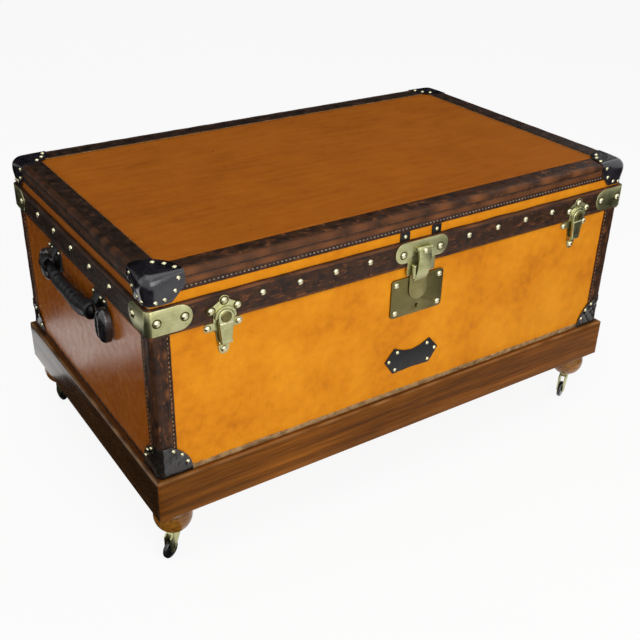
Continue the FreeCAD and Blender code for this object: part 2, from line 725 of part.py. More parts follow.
def build_body_carcass():
    """The four walls and the bottom of the trunk body."""
    half_case = mm.case_width / 2 + mm.case_gap
    case_zs = (case_mid - mm.case_height / 2 - mm.case_gap, case_mid + mm.case_height / 2 + mm.case_gap)
    pocket = block("lock_pocket", (-half_case, half_case),
                   (-face_y - mm.cut_over, -(face_y - mm.case_depth - mm.case_gap)), case_zs)
    boards = four_boards("body_board", board_x, board_y, (trunk_bottom, parting), mm.board,
                         pocket, board_round)
    node("body_walls", group("body_walls_set", boards))
    node("body_bottom_board", block("bottom_board", (-room_x, room_x), (-room_y, room_y),
                                    (trunk_bottom, trunk_bottom + mm.board)))
    window = block("lock_window", (-half_case, half_case),
                   (-face_y - mm.cut_over, -(face_y - mm.case_depth - mm.case_gap)), case_zs)
    skin = canvas_skin("body_canvas_whole", (trunk_bottom, parting))
    node("body_canvas", cut("body_canvas_cut", skin, window))
    node("body_lining", shell("body_lining_shell", room_x, room_y,
                              (trunk_bottom + mm.board, parting), mm.lining, floor=mm.lining))
    rim_x = room_x - mm.lining
    rim_y = room_y - mm.lining
    rim = four_boards("rim", rim_x, rim_y, (parting - mm.lip_depth, parting + mm.lip_rise), mm.lip)
    node("body_rim_lip", group("body_rim_lip_set", rim))


def corner_places(half_x, half_y):
    """The four corners with their tags, signs and middles."""
    return [(tag, sx, sy, sx * half_x, sy * half_y) for tag, sx, sy in CORNERS]


def build_body_leather():
    """Bottom caps, corner trims and the worn binding round the body's bottom."""
    outer_x = face_x + mm.cap
    outer_y = face_y + mm.cap
    reach = mm.bottom_cap_reach
    zs = (trunk_bottom, trunk_bottom + reach)
    skin = cut("bottom_cap_skin", rounded_block("bottom_cap_block", outer_x, outer_y, zs, mm.cap_round),
               core("bottom_cap_core", (trunk_bottom - mm.cut_over, zs[1] + mm.cut_over)))
    balls = []
    for tag, sx, sy, x, y in corner_places(outer_x, outer_y):
        ball = doc.addObject("Part::Sphere", "bottom_cap_ball_" + tag)
        bind(ball, "Radius", reach)
        balls.append(put(ball, x, y, trunk_bottom))
    reaches = fuse("bottom_cap_balls", balls)
    caps = common("bottom_caps_cut", skin, reaches)
    node("bottom_corner_caps", caps)
    trim_zs = (trunk_bottom, parting)
    strip = cut("corner_trim_skin",
                rounded_block("corner_trim_block", mm.trunk_length / 2, mm.trunk_depth / 2,
                              trim_zs, mm.trim_round),
                core("corner_trim_core", (trunk_bottom - mm.cut_over, parting + mm.cut_over)))
    keep = []
    wide = mm.corner_trim_width
    for tag, sx, sy, x, y in corner_places(mm.trunk_length / 2, mm.trunk_depth / 2):
        xs = sorted((x - sx * wide, x + sx * mm.cut_over), key=lambda v: v.number)
        ys = sorted((y - sy * wide, y + sy * mm.cut_over), key=lambda v: v.number)
        keep.append(block("corner_trim_keep_" + tag, xs, ys, trim_zs))
    corners = common("corner_trim_all", strip, fuse("corner_trim_keeps", keep))
    node("body_corner_trims", cut("corner_trims_cut", corners, reaches))
    ring_zs = (trunk_bottom, trunk_bottom + mm.binding_height)
    ring = cut("binding_ring",
               rounded_block("binding_block", face_x + mm.binding, face_y + mm.binding, ring_zs,
                             core_round + mm.binding),
               core("binding_core", (trunk_bottom - mm.cut_over, ring_zs[1] + mm.cut_over)))
    node("body_bottom_binding", cut("binding_cut", ring, reaches))


def build_lid_carcass():
    """Boards and lining of the lid, and its canvas with the panel on top."""
    boards = four_boards("lid_board", board_x, board_y, (lid_bottom, board_top - mm.board), mm.board,
                         corners=board_round)
    node("lid_walls", group("lid_walls_set", boards))
    node("lid_top_board", common("top_board_rounded",
                                 block("top_board", (-board_x, board_x), (-board_y, board_y),
                                       (board_top - mm.board, board_top)),
                                 rounded_block("top_board_form", board_x, board_y,
                                               (lid_bottom, board_top), board_round, top=True)))
    skin = canvas_skin("lid_canvas_skin", (lid_bottom, seat_top), closed=True)
    panel_x = mm.trunk_length / 2 - mm.lid_trim_inset - mm.panel_gap
    panel_y = mm.trunk_depth / 2 - mm.lid_trim_inset - mm.panel_gap
    panel = block("lid_panel_block", (-panel_x, panel_x), (-panel_y, panel_y),
                  (seat_top - mm.canvas / 2, face_top))
    drums = [rod("lid_panel_corner_" + tag, mm.top_cap_reach + mm.panel_gap, 2 * mm.cut_over,
                 x, y, seat_top - mm.cut_over)
             for tag, sx, sy, x, y in corner_places(face_x + mm.cap, face_y + mm.cap)]
    top_sheet = cut("lid_panel", panel, fuse("lid_panel_corners", drums))
    node("lid_canvas", fuse("lid_canvas_whole", [skin, top_sheet]))
    lining_low = parting + mm.lip_rise + mm.lining_gap
    node("lid_lining", shell("lid_lining_shell", room_x, room_y, (lining_low, board_top - mm.board),
                             mm.lining, roof=mm.lining))


def build_lid_leather():
    """The top corner caps, the edge leather and the nailed band."""
    outer_x = face_x + mm.cap
    outer_y = face_y + mm.cap
    top = face_top + mm.cap
    low = lid_top - mm.top_cap_height
    skin = cut("top_cap_skin",
               rounded_block("top_cap_block", outer_x, outer_y, (low, top), mm.cap_round, top=True),
               core("top_cap_core", (low - mm.cut_over, seat_top), top=True))
    keep = []
    shoulder = low + mm.top_cap_chamfer_height
    for tag, sx, sy, x, y in corner_places(outer_x, outer_y):
        cone = doc.addObject("Part::Cone", "top_cap_cone_" + tag)
        bind(cone, "Radius1", mm.top_cap_reach - mm.top_cap_chamfer)
        bind(cone, "Radius2", mm.top_cap_reach)
        bind(cone, "Height", mm.top_cap_chamfer_height)
        keep.append(put(cone, x, y, low))
        keep.append(rod("top_cap_drum_" + tag, mm.top_cap_reach, top - shoulder + mm.cut_over,
                        x, y, shoulder))
    reaches = fuse("top_cap_keeps", keep)
    node("top_corner_caps", common("top_caps_cut", skin, reaches))
    edge_skin = cut("edge_trim_skin",
                    rounded_block("edge_trim_block", mm.trunk_length / 2, mm.trunk_depth / 2,
                                  (trim_bottom, lid_top), mm.trim_round, top=True),
                    core("edge_trim_core", (trim_bottom - mm.cut_over, seat_top), top=True))
    hole_x = mm.trunk_length / 2 - mm.lid_trim_inset
    hole_y = mm.trunk_depth / 2 - mm.lid_trim_inset
    window = block("edge_trim_window", (-hole_x, hole_x), (-hole_y, hole_y),
                   (face_top - mm.cut_over, lid_top + mm.cut_over))
    open_top = cut("edge_trim_open", edge_skin, window)
    node("lid_edge_trim", cut("edge_trim_cut", open_top, reaches))
    band = cut("band_ring",
               rounded_block("band_block", face_x + mm.band, face_y + mm.band,
                             (lid_bottom, band_top), core_round + mm.band),
               core("band_core", (lid_bottom - mm.cut_over, band_top + mm.cut_over)))
    node("lid_band", band)


def build_brackets():
    """Brass brackets over the band at the four corners, with round ends."""
    level = mm.band + mm.bracket
    middle = parting + mm.bracket_rise
    radius = mm.bracket_height / 2
    zs = (middle - radius, middle + radius)
    skin = cut("bracket_skin",
               rounded_block("bracket_block", face_x + level, face_y + level, zs,
                             core_round + level),
               rounded_block("bracket_core", face_x + mm.band, face_y + mm.band,
                             (zs[0] - mm.cut_over, zs[1] + mm.cut_over), core_round + mm.band))
    keep = []
    for tag, sx, sy, x, y in corner_places(face_x + level, face_y + level):
        flat_x = mm.bracket_reach - radius
        flat_y = mm.bracket_side_reach - radius
        xs = sorted((x - sx * flat_x, x + sx * mm.cut_over), key=lambda v: v.number)
        ys = sorted((y - sy * flat_y, y + sy * mm.cut_over), key=lambda v: v.number)
        keep.append(block("bracket_keep_" + tag, xs, ys, zs))
        over = mm.cut_over
        keep.append(rod("bracket_front_end_" + tag, radius, 2 * over, x - sx * flat_x, y - over, middle, "y"))
        keep.append(rod("bracket_side_end_" + tag, radius, 2 * over, x - over, y - sy * flat_y, middle, "x"))
    node("corner_brackets", common("brackets_cut", skin, fuse("bracket_keeps", keep)))


def build_hinges():
    """Two back hinges: leaves on the body and on the lid round one pin each."""
    axis_y = face_y + mm.hardware_reach - mm.knuckle_radius
    third = mm.hinge_width / 3
    body_leaves = []
    lid_leaves = []
    pins = []
    for tag, sign in SIDES:
        middle = sign * (mm.trunk_length / 2 - mm.hinge_inset)
        left = middle - mm.hinge_width / 2
        right = middle + mm.hinge_width / 2
        bore = rod("hinge_bore_" + tag, mm.hinge_pin_radius + mm.running_clearance,
                   mm.hinge_width + 2 * mm.cut_over, left - mm.cut_over, axis_y, parting, "x")
        lid_bore = rod("hinge_lid_bore_" + tag, mm.hinge_pin_radius + mm.running_clearance,
                       mm.hinge_width + 2 * mm.cut_over, left - mm.cut_over, axis_y, parting, "x")
        low = [block("hinge_body_leaf_" + tag, (left, right), (face_y, face_y + mm.hinge_leaf),
                     (parting - mm.hinge_leaf_start - mm.hinge_leaf_height, parting - mm.hinge_leaf_start))]
        for end, start in (("a", left), ("b", left + 2 * third)):
            low.append(rod("hinge_body_knuckle_%s_%s" % (tag, end), mm.knuckle_radius, third,
                           start, axis_y, parting, "x"))
            low.append(block("hinge_body_neck_%s_%s" % (tag, end), (start, start + third),
                             (face_y, axis_y), (parting - mm.neck_high, parting - mm.neck_low)))
        body_leaves.append(cut("hinge_body_part_" + tag, fuse("hinge_body_whole_" + tag, low), bore))
        start = left + third + mm.knuckle_gap
        span = third - 2 * mm.knuckle_gap
        leaf_face = face_y + mm.band
        high = [
            block("hinge_lid_leaf_" + tag, (left, right), (leaf_face, leaf_face + mm.hinge_leaf),
                  (parting + mm.hinge_leaf_start, parting + mm.hinge_leaf_start + mm.hinge_leaf_height)),
            rod("hinge_lid_knuckle_" + tag, mm.knuckle_radius, span, start, axis_y, parting, "x"),
            block("hinge_lid_neck_" + tag, (start, start + span), (leaf_face, axis_y),
                  (parting + mm.neck_low, parting + mm.neck_high)),
        ]
        lid_leaves.append(cut("hinge_lid_part_" + tag, fuse("hinge_lid_whole_" + tag, high), lid_bore))
        pins.append(rod("hinge_pin_" + tag, mm.hinge_pin_radius, mm.hinge_width, left, axis_y, parting, "x"))
    node("body_hinge_leaves", group("body_hinge_leaves_set", body_leaves))
    node("lid_hinge_leaves", group("lid_hinge_leaves_set", lid_leaves))
    return pins


def build_lock():
    """The lock's plate with its slot and keyhole, the case behind it and its bolt."""
    half = mm.lock_width / 2
    plate = front_plate("lock_plate_blank", rectangle((-half, half), (lock_low, lock_top)),
                        ZERO, mm.lock_plate)
    soften(plate, plate.Tip, mm.lock_corner, runs_along("y"))
    front = -(face_y + mm.lock_plate + mm.cut_over)
    back = -(face_y - mm.cut_over)
    staple_low = parting - mm.staple_drop - mm.staple_width / 2 - mm.slot_gap
    staple_high = parting - mm.staple_drop + mm.staple_width / 2 + mm.staple_slot_rise
    half_slot = mm.staple_width / 2 + mm.slot_gap
    slot = block("staple_slot", (-half_slot, half_slot), (front, back), (staple_low, staple_high))
    key_z = lock_top - mm.keyhole_drop
    keyhole = fuse("keyhole", [
        rod("keyhole_round", mm.keyhole_radius, back - front, ZERO, front, key_z, "y"),
        block("keyhole_slit", (-mm.keyhole_slot / 2, mm.keyhole_slot / 2), (front, back),
              (key_z - mm.keyhole_length, key_z)),
    ])
    node("lock_plate", cut("lock_plate_keyed", cut("lock_plate_slotted", plate, slot), keyhole))
    half_case = mm.case_width / 2
    low = case_mid - mm.case_height / 2
    high = case_mid + mm.case_height / 2
    rear = -(face_y - mm.case_depth)
    box = block("case_box", (-half_case, half_case), (-face_y, rear), (low, high))
    hollow = block("case_hollow", (mm.case_wall - half_case, half_case - mm.case_wall),
                   (-face_y - mm.cut_over, rear - mm.case_wall), (low + mm.case_wall, high - mm.case_wall))
    bolt_low = parting - mm.staple_drop - mm.bolt_height / 2
    ledge = block("bolt_ledge", (mm.case_wall - half_case, half_case - mm.case_wall),
                  (rear - mm.case_wall - mm.bolt_thickness, rear - mm.case_wall),
                  (bolt_low - mm.seat_gap - mm.case_wall, bolt_low - mm.seat_gap))
    node("lock_case", fuse("lock_case_whole", [cut("case_open", box, hollow), ledge]))
    bolt_back = rear - mm.case_wall - mm.seat_gap
    node("lock_bolt", block("bolt", (mm.bolt_start, mm.bolt_start + mm.bolt_length),
                            (bolt_back - mm.bolt_thickness, bolt_back),
                            (bolt_low, bolt_low + mm.bolt_height)))


def build_hasp():
    """The hasp's plate on the lid, the hinged hasp with its staple, and its pin."""
    half = mm.hasp_plate_width / 2
    neck = mm.hasp_neck / 2
    top = parting + mm.hasp_plate_rise
    lobe_low = parting + mm.hasp_lobe_low
    lobe_mid = (top + lobe_low) / 2
    lobe = (top - lobe_low) / 2
    neck_low = lock_top + mm.hasp_neck_gap
    outline = [
        ((-neck, neck_low),),
        ((neck, neck_low),),
        ((neck, lobe_low),),
        ((half - lobe, lobe_low),),
        ((half - lobe, top), (half, lobe_mid)),
        ((lobe - half, top),),
        ((lobe - half, lobe_low), (-half, lobe_mid)),
        ((-neck, lobe_low),),
    ]
    plate = front_plate("hasp_plate_flat", outline, mm.band, mm.hasp_plate)
    plate_face = mm.band + mm.hasp_plate
    axis_level = plate_face + mm.lever_gap + mm.hasp_eye
    axis_z = parting + mm.hasp_pivot_rise
    axis_y = -(face_y + axis_level)
    ears = []
    ear_in = mm.strap_width / 2 + mm.ear_gap
    for tag, sign in SIDES:
        start = ear_in if sign > 0 else -(ear_in + mm.ear)
        ears.append(rod("hasp_ear_round_" + tag, mm.hasp_eye, mm.ear, start, axis_y, axis_z, "x"))
        ears.append(block("hasp_ear_" + tag, (start, start + mm.ear), (axis_y, -(face_y + plate_face)),
                          (axis_z - mm.hasp_eye, axis_z + mm.hasp_eye)))
    span = 2 * (ear_in + mm.ear)
    bore = rod("hasp_ear_bore", mm.pin_radius + mm.running_clearance, span + 2 * mm.cut_over,
               -(span / 2 + mm.cut_over), axis_y, axis_z, "x")
    node("hasp_plate", cut("hasp_plate_bored", fuse("hasp_plate_eared", [plate] + ears), bore))
    node("hasp_pin", rod("hasp_pin_rod", mm.pin_radius, span, -span / 2, axis_y, axis_z, "x"))

    back = mm.lock_plate + mm.tongue_gap
    front = back + mm.strap
    tongue_half = mm.tongue_width / 2
    tongue_low = parting - mm.tongue_bottom_drop
    round_z = tongue_low + tongue_half
    tongue = front_plate("hasp_tongue", [
        ((tongue_half, round_z),),
        ((tongue_half, parting - mm.tongue_top_drop),),
        ((-tongue_half, parting - mm.tongue_top_drop),),
        ((-tongue_half, round_z),),
        ((tongue_half, round_z), (ZERO, tongue_low)),
    ][1:], back, mm.strap)
    join_z = parting - mm.strap_join_drop
    strap = new_body("hasp_strap")
    outer = mm.hardware_reach
    mid_z = (join_z + axis_z) / 2
    strap_outline = [
        ((-(face_y + back), join_z),),
        ((-(face_y + axis_level), axis_z - mm.strap), (-(face_y + outer - mm.strap), mid_z)),
        ((-(face_y + axis_level), axis_z + mm.strap),),
        ((-(face_y + axis_level + mm.hasp_eye), axis_z),),
        ((-(face_y + front), join_z - mm.strap), (-(face_y + outer), mid_z)),
        ((-(face_y + back), join_z - mm.strap),),
    ]
    pad(strap, draw(strap, "YZ_Plane", strap_outline), mm.strap_width, symmetric=True)
    eye = rod("hasp_eye_round", mm.hasp_eye, mm.strap_width, -mm.strap_width / 2, axis_y, axis_z, "x")
    half_staple = mm.staple_width / 2
    staple_z = parting - mm.staple_drop
    staple = block("hasp_staple", (-half_staple, half_staple),
                   (-(face_y + back), -(face_y + mm.lock_plate - mm.staple_depth)),
                   (staple_z - half_staple, staple_z + half_staple))
    whole = fuse("hasp_whole", [tongue, strap, eye, staple])
    pin_bore = rod("hasp_bore", mm.pin_radius + mm.running_clearance, mm.strap_width + 2 * mm.cut_over,
                   -(mm.strap_width / 2 + mm.cut_over), axis_y, axis_z, "x")
    node("hasp", cut("hasp_bored", whole, pin_bore))


def latch_outline(middle, near, far, arm_start, waist):
    """A latch plate with a round lobe on each side and a round tab at its far end."""
    grow = 1 if far.number > near.number else -1
    side = mm.latch_side if grow < 0 else mm.keeper_side
    lobe = mm.latch_lobe_radius
    tab = mm.latch_tab_radius
    arm = near + grow * arm_start
    arm_end = arm + grow * 2 * lobe
    tab_z = far - grow * tab
    return [
        ((middle - waist, near),),
        ((middle + waist, near),),
        ((middle + waist, arm),),
        ((middle + side, arm),),
        ((middle + side, arm_end), (middle + side + lobe, arm + grow * lobe)),
        ((middle + waist, arm_end),),
        ((middle + tab, tab_z),),
        ((middle - tab, tab_z), (middle, far)),
        ((middle - waist, arm_end),),
        ((middle - side, arm_end),),
        ((middle - side, arm), (middle - side - lobe, arm + grow * lobe)),
        ((middle - waist, arm),),
    ]


def build_latch(tag, sign, bases, keepers, pins):
    """One draw latch: base, lever, keeper and pin."""
    middle = sign * latch_mid
    base = front_plate("latch_base_flat_" + tag,
                       latch_outline(middle, parting - mm.part_gap, parting - mm.latch_drop,
                                     mm.latch_arm_start, mm.latch_waist),
                       ZERO, mm.latch_plate)
    axis_level = mm.latch_plate + mm.lever_gap + mm.lever_eye
    axis_y = -(face_y + axis_level)
    axis_z = parting - mm.lever_pivot_drop
    foot = mm.lever_foot_width / 2
    ears = []
    for end, start in (("a", middle - foot - mm.ear_gap - mm.ear), ("b", middle + foot + mm.ear_gap)):
        ears.append(rod("latch_ear_round_%s_%s" % (tag, end), mm.lever_eye, mm.ear,
                        start, axis_y, axis_z, "x"))
        ears.append(block("latch_ear_%s_%s" % (tag, end), (start, start + mm.ear),
                          (axis_y, -(face_y + mm.latch_plate)),
                          (axis_z - mm.lever_eye, axis_z + mm.lever_eye)))
    span = 2 * (foot + mm.ear_gap + mm.ear)
    bore = rod("latch_ear_bore_" + tag, mm.pin_radius + mm.running_clearance, span + 2 * mm.cut_over,
               middle - span / 2 - mm.cut_over, axis_y, axis_z, "x")
    bases.append(cut("latch_base_" + tag, fuse("latch_base_eared_" + tag, [base] + ears), bore))
    pins.append(rod("latch_pin_" + tag, mm.pin_radius, span, middle - span / 2, axis_y, axis_z, "x"))

    keeper = front_plate("keeper_flat_" + tag,
                         latch_outline(middle, parting + mm.part_gap, parting + mm.keeper_rise,
                                       mm.keeper_side_rise - mm.latch_lobe_radius - mm.part_gap,
                                       mm.keeper_waist),
                         mm.band, mm.latch_plate)
    round_z = parting + mm.lever_top_rise
    inner = mm.lever_radius + mm.part_gap
    outer = inner + mm.ridge_width
    ridge = front_plate("keeper_ridge_" + tag, [
        ((middle - outer, round_z),),
        ((middle - inner, round_z),),
        ((middle + inner, round_z), (middle, round_z + inner)),
        ((middle + outer, round_z),),
        ((middle - outer, round_z), (middle, round_z + outer)),
    ][1:], mm.band + mm.latch_plate, mm.ridge_height)
    keepers.append(fuse("keeper_" + tag, [keeper, ridge]))

    lever_back = mm.band + mm.latch_plate + mm.lever_gap
    lever = front_plate("lever_flat_" + tag, [
        ((middle - foot, axis_z),),
        ((middle + foot, axis_z),),
        ((middle + mm.lever_radius, round_z),),
        ((middle - mm.lever_radius, round_z), (middle, round_z + mm.lever_radius)),
    ], lever_back, mm.lever_thickness)
    soften(lever, lever.Tip, mm.lever_round, at_level("y", -(face_y + lever_back + mm.lever_thickness)))
    eye = rod("lever_eye_" + tag, mm.lever_eye, mm.lever_foot_width, middle - foot, axis_y, axis_z, "x")
    lever_bore = rod("lever_bore_" + tag, mm.pin_radius + mm.running_clearance,
                     mm.lever_foot_width + 2 * mm.cut_over, middle - foot - mm.cut_over,
                     axis_y, axis_z, "x")
    lever_whole = fuse("lever_whole_" + tag, [lever, eye])
    node("latch_lever_" + tag, cut("lever_bored_" + tag, lever_whole, lever_bore))


def build_latches(pins):
    """Both draw latches, with their bases and keepers grouped."""
    bases = []
    keepers = []
    for tag, sign in SIDES:
        build_latch(tag, sign, bases, keepers, pins)
    node("latch_bases", group("latch_bases_set", bases))
    node("latch_keepers", group("latch_keepers_set", keepers))
    node("pivot_pins", group("pivot_pins_set", pins))


PATCH_SHARES = [
    # half outline of the patch: share of half its width, share of half its height
    (0.0, 0.52), (0.3, 0.64), (0.66, 1.0), (1.0, 0.1), (0.68, -0.94), (0.0, -0.86),
]


def build_patch_and_tabs():
    """The leather patch under the lock and the two tabs above it."""
    middle = parting - mm.patch_drop
    half_w = mm.patch_width / 2
    half_h = mm.patch_height / 2
    right = [(half_w * u, middle + half_h * v) for u, v in PATCH_SHARES]
    left = [(-half_w * u, middle + half_h * v) for u, v in PATCH_SHARES[1:-1]]
    outline = [(point,) for point in reversed(right)] + [(point,) for point in left]
    node("lock_patch", front_plate("lock_patch_flat", outline, ZERO, mm.patch))
    tabs = []
    inset = mm.part_gap
    for tag, sign in SIDES:
        x = sign * mm.strap_tab_offset
        half = mm.strap_tab_width / 2
        tabs.append(front_plate("strap_tab_" + tag, rectangle((x - half, x + half),
                                (band_top + inset, trim_bottom - inset)), ZERO, mm.strap_tab))
    node("strap_tabs", group("strap_tabs_set", tabs))


def build_chape(name, sign, middle, axis_z):
    """A flat leather piece on the trunk's end, wider outwards of its loop."""
    chape = new_body("chape_" + name)
    plate_x = sign * face_x if sign > 0 else -(face_x + mm.chape)
    chape_zs = (axis_z + mm.chape_rise - mm.chape_height, axis_z + mm.chape_rise)
    chape_ys = (middle - mm.chape_width / 2, middle + mm.chape_width / 2)
    sketch = draw(chape, "YZ_Plane", rectangle(chape_ys, chape_zs), plate_x)
    soften(chape, pad(chape, sketch, mm.chape), mm.chape_round, runs_along("x"))
    return chape


def build_tab(name, x, y_from, y_to, axis_z):
    """An oval end tab that lies flat along the trunk's end."""
    tab = new_body("tab_" + name)
    round_radius = mm.tab_width / 2
    tab_mid = (y_from + y_to) / 2
    high = axis_z + mm.tab_rise - round_radius
    low = axis_z + mm.tab_rise - mm.tab_height + round_radius
    outline = [
        ((y_from, low),),
        ((y_to, low), (tab_mid, low - round_radius)),
        ((y_to, high),),
        ((y_from, high), (tab_mid, high + round_radius)),
    ]
    pad(tab, draw(tab, "YZ_Plane", outline, x), mm.tab, symmetric=True)
    faces = (at_level("x", x - mm.tab / 2), at_level("x", x + mm.tab / 2))
    soften(tab, tab.Tip, mm.tab_round, lambda edge: faces[0](edge) or faces[1](edge))
    return tab


def build_bow(tag, sign, axis_x, axis_z, chord):
    """The bowed middle of a grip, hanging outwards and down between its loops."""
    bend = (chord * chord + mm.grip_bow * mm.grip_bow) / (2 * mm.grip_bow)
    bow = doc.addObject("Part::Torus", "grip_bow_" + tag)
    bind(bow, "Radius1", bend)
    bind(bow, "Radius2", mm.grip_radius)
    half_angle = Size("asin(%s)" % (chord / bend).text, math.degrees(math.asin((chord / bend).number)))
    bind(bow, "Angle3", 2 * half_angle)
    hub = bend - mm.grip_bow
    tilt = FreeCAD.Rotation(FreeCAD.Vector(0, 1, 0), sign * GRIP_DROOP_DEG)
    spin_deg = -half_angle.number if sign > 0 else 2 * QUARTER_DEG - half_angle.number
    spin = FreeCAD.Rotation(FreeCAD.Vector(0, 0, 1), spin_deg)
    x = axis_x - sign * hub * math.cos(math.radians(GRIP_DROOP_DEG))
    z = axis_z + hub * math.sin(math.radians(GRIP_DROOP_DEG))
    bow.Placement = FreeCAD.Placement(FreeCAD.Vector(x.number, 0, z.number), tilt * spin)
    bind(bow, "Placement.Base.x", x)
    bind(bow, "Placement.Base.z", z)
    return bow


def build_handle(tag, sign, loops):
    """A handle's two loops on leather chapes, and its bowed grip with oval end tabs."""
    axis_x = sign * (face_x + mm.handle_standoff)
    axis_z = parting - mm.handle_drop
    half = mm.loop_offset
    straight = mm.grip_straight / 2
    bore_radius = mm.grip_radius + mm.loop_gap
    outer_radius = bore_radius + mm.loop_wall
    half_loop = mm.loop_width / 2
    parts = []
    for end, way in (("a", -1), ("b", 1)):
        middle = way * half
        name = "%s_%s" % (tag, end)
        low_y = middle - half_loop
        xs = sorted((sign * face_x, axis_x), key=lambda v: v.number)
        chape = build_chape(name, sign, way * (half + mm.chape_offset), axis_z)
        ring = rod("loop_ring_" + name, outer_radius, mm.loop_width, axis_x, low_y, axis_z, "y")
        cheek = block("loop_cheek_" + name, xs, (low_y, low_y + mm.loop_width),
                      (axis_z - outer_radius, axis_z + outer_radius))
        hole = rod("loop_hole_" + name, bore_radius, mm.loop_width + 2 * mm.cut_over,
                   axis_x, low_y - mm.cut_over, axis_z, "y")
        loops.append(cut("loop_" + name, fuse("loop_whole_" + name, [chape, ring, cheek]), hole))
        inner_end = way * (half - straight)
        outer_end = way * (half + half_loop + mm.grip_knob)
        start = inner_end if way > 0 else outer_end
        parts.append(rod("grip_end_" + name, mm.grip_radius, half_loop + mm.grip_knob + straight,
                         axis_x, start, axis_z, "y"))
        knob = doc.addObject("Part::Sphere", "grip_knob_" + name)
        bind(knob, "Radius", mm.grip_radius)
        knob.Angle1 = 0
        knob.Angle2 = QUARTER_DEG
        parts.append(put(knob, axis_x, outer_end, axis_z, (1, 0, 0), -way * QUARTER_DEG))
        tab_in = way * (half + half_loop + mm.tab_gap)
        tab_ys = sorted((tab_in, tab_in + way * mm.tab_width), key=lambda v: v.number)
        parts.append(build_tab(name, sign * (face_x + mm.tab_level), tab_ys[0], tab_ys[1], axis_z))
    parts.append(build_bow(tag, sign, axis_x, axis_z, half - straight))
    node("handle_grip_" + tag, fuse("grip_whole_" + tag, parts))


def build_handles():
    """The loops, chapes and grips of both side handles."""
    loops = []
    for tag, sign in SIDES:
        build_handle(tag, sign, loops)
    node("handle_loops", group("handle_loops_set", loops))


TOP_CAP_NAIL_SHARES = {
    # places from the corner, as shares of the cap's reach and of its height
    "front": [(0.83, 0.8), (0.73, 0.39), (0.46, 0.16), (0.235, 0.12)],
    "side": [(0.83, 0.8), (0.73, 0.39), (0.46, 0.16), (0.235, 0.12)],
    "top": [(0.54, 0.74), (0.74, 0.54), (0.87, 0.26)],
}
BOTTOM_CAP_NAIL_SHARES = [(0.44, 0.8), (0.68, 0.62), (0.84, 0.34)]


def build_cap_nails():
    """The nails of the corner caps, above and below."""
    outer_x = face_x + mm.cap
    outer_y = face_y + mm.cap
    low = lid_top - mm.top_cap_height
    top_nails = []
    bottom_nails = []
    for tag, sx, sy in CORNERS:
        long_face = "front" if sy < 0 else "back"
        end_face = "left" if sx < 0 else "right"
        for count, (u, v) in enumerate(TOP_CAP_NAIL_SHARES["front"]):
            top_nails.append(nail("top_cap_nail_long_%s_%d" % (tag, count), long_face,
                                  sx * (outer_x - mm.top_cap_reach * u), low + mm.top_cap_height * v,
                                  mm.cap, mm.cap_nail))
        for count, (u, v) in enumerate(TOP_CAP_NAIL_SHARES["side"]):
            top_nails.append(nail("top_cap_nail_end_%s_%d" % (tag, count), end_face,
                                  sy * (outer_y - mm.top_cap_reach * u), low + mm.top_cap_height * v,
                                  mm.cap, mm.cap_nail))
        for count, (u, v) in enumerate(TOP_CAP_NAIL_SHARES["top"]):
            top_nails.append(nail("top_cap_nail_top_%s_%d" % (tag, count), "top",
                                  sx * (outer_x - mm.top_cap_reach * u),
                                  sy * (outer_y - mm.top_cap_reach * v), mm.cap, mm.cap_nail))
        for count, (u, v) in enumerate(BOTTOM_CAP_NAIL_SHARES):
            height = trunk_bottom + mm.bottom_cap_reach * v
            bottom_nails.append(nail("bottom_cap_nail_long_%s_%d" % (tag, count), long_face,
                                     sx * (outer_x - mm.bottom_cap_reach * u), height,
                                     mm.cap, mm.cap_nail))
            bottom_nails.append(nail("bottom_cap_nail_end_%s_%d" % (tag, count), end_face,
                                     sy * (outer_y - mm.bottom_cap_reach * u), height,
                                     mm.cap, mm.cap_nail))
    return top_nails, bottom_nails


def build_lid_nails(nails):
    """Nails of the band and of the small tabs, beside those of the top caps."""
    height = parting + mm.band_nail_rise
    spacing = (latch_mid - mm.band_nail_end - mm.band_nail_start) / (BAND_NAIL_COUNT - 1)
    for face in ("front", "back"):
        for tag, sign in SIDES:
            for count in range(BAND_NAIL_COUNT):
                x = sign * (mm.band_nail_start + spacing * count)
                nails.append(nail("band_nail_%s_%s_%d" % (face, tag, count), face, x, height,
                                  mm.band, mm.band_nail))
    nails.append(nail("band_nail_back_middle", "back", ZERO, height, mm.band, mm.band_nail))
    for face in ("left", "right"):
        for count in range(-END_NAIL_COUNT, END_NAIL_COUNT + 1):
            name = "band_nail_%s_%d" % (face, count + END_NAIL_COUNT)
            nails.append(nail(name, face, mm.end_nail_spacing * count, height, mm.band, mm.band_nail))
    tab_z = (band_top + trim_bottom) / 2
    for tag, sign in SIDES:
        nails.append(nail("strap_tab_nail_" + tag, "front", sign * mm.strap_tab_offset, tab_z,
                          mm.strap_tab, mm.cap_nail))
    node("lid_nails", group("lid_nails_set", nails))


PATCH_NAIL_SHARES = [(0.56, 0.66), (0.86, 0.1), (0.62, -0.64)]
HASP_RIVET_SHARE = 0.7
HASP_RIVET_RISE_SHARE = 0.55
BRACKET_RIVET_SHARES = (0.225, 0.824)
BRACKET_SIDE_RIVET_SHARE = 0.76
CHAPE_NAIL_COUNT = 4


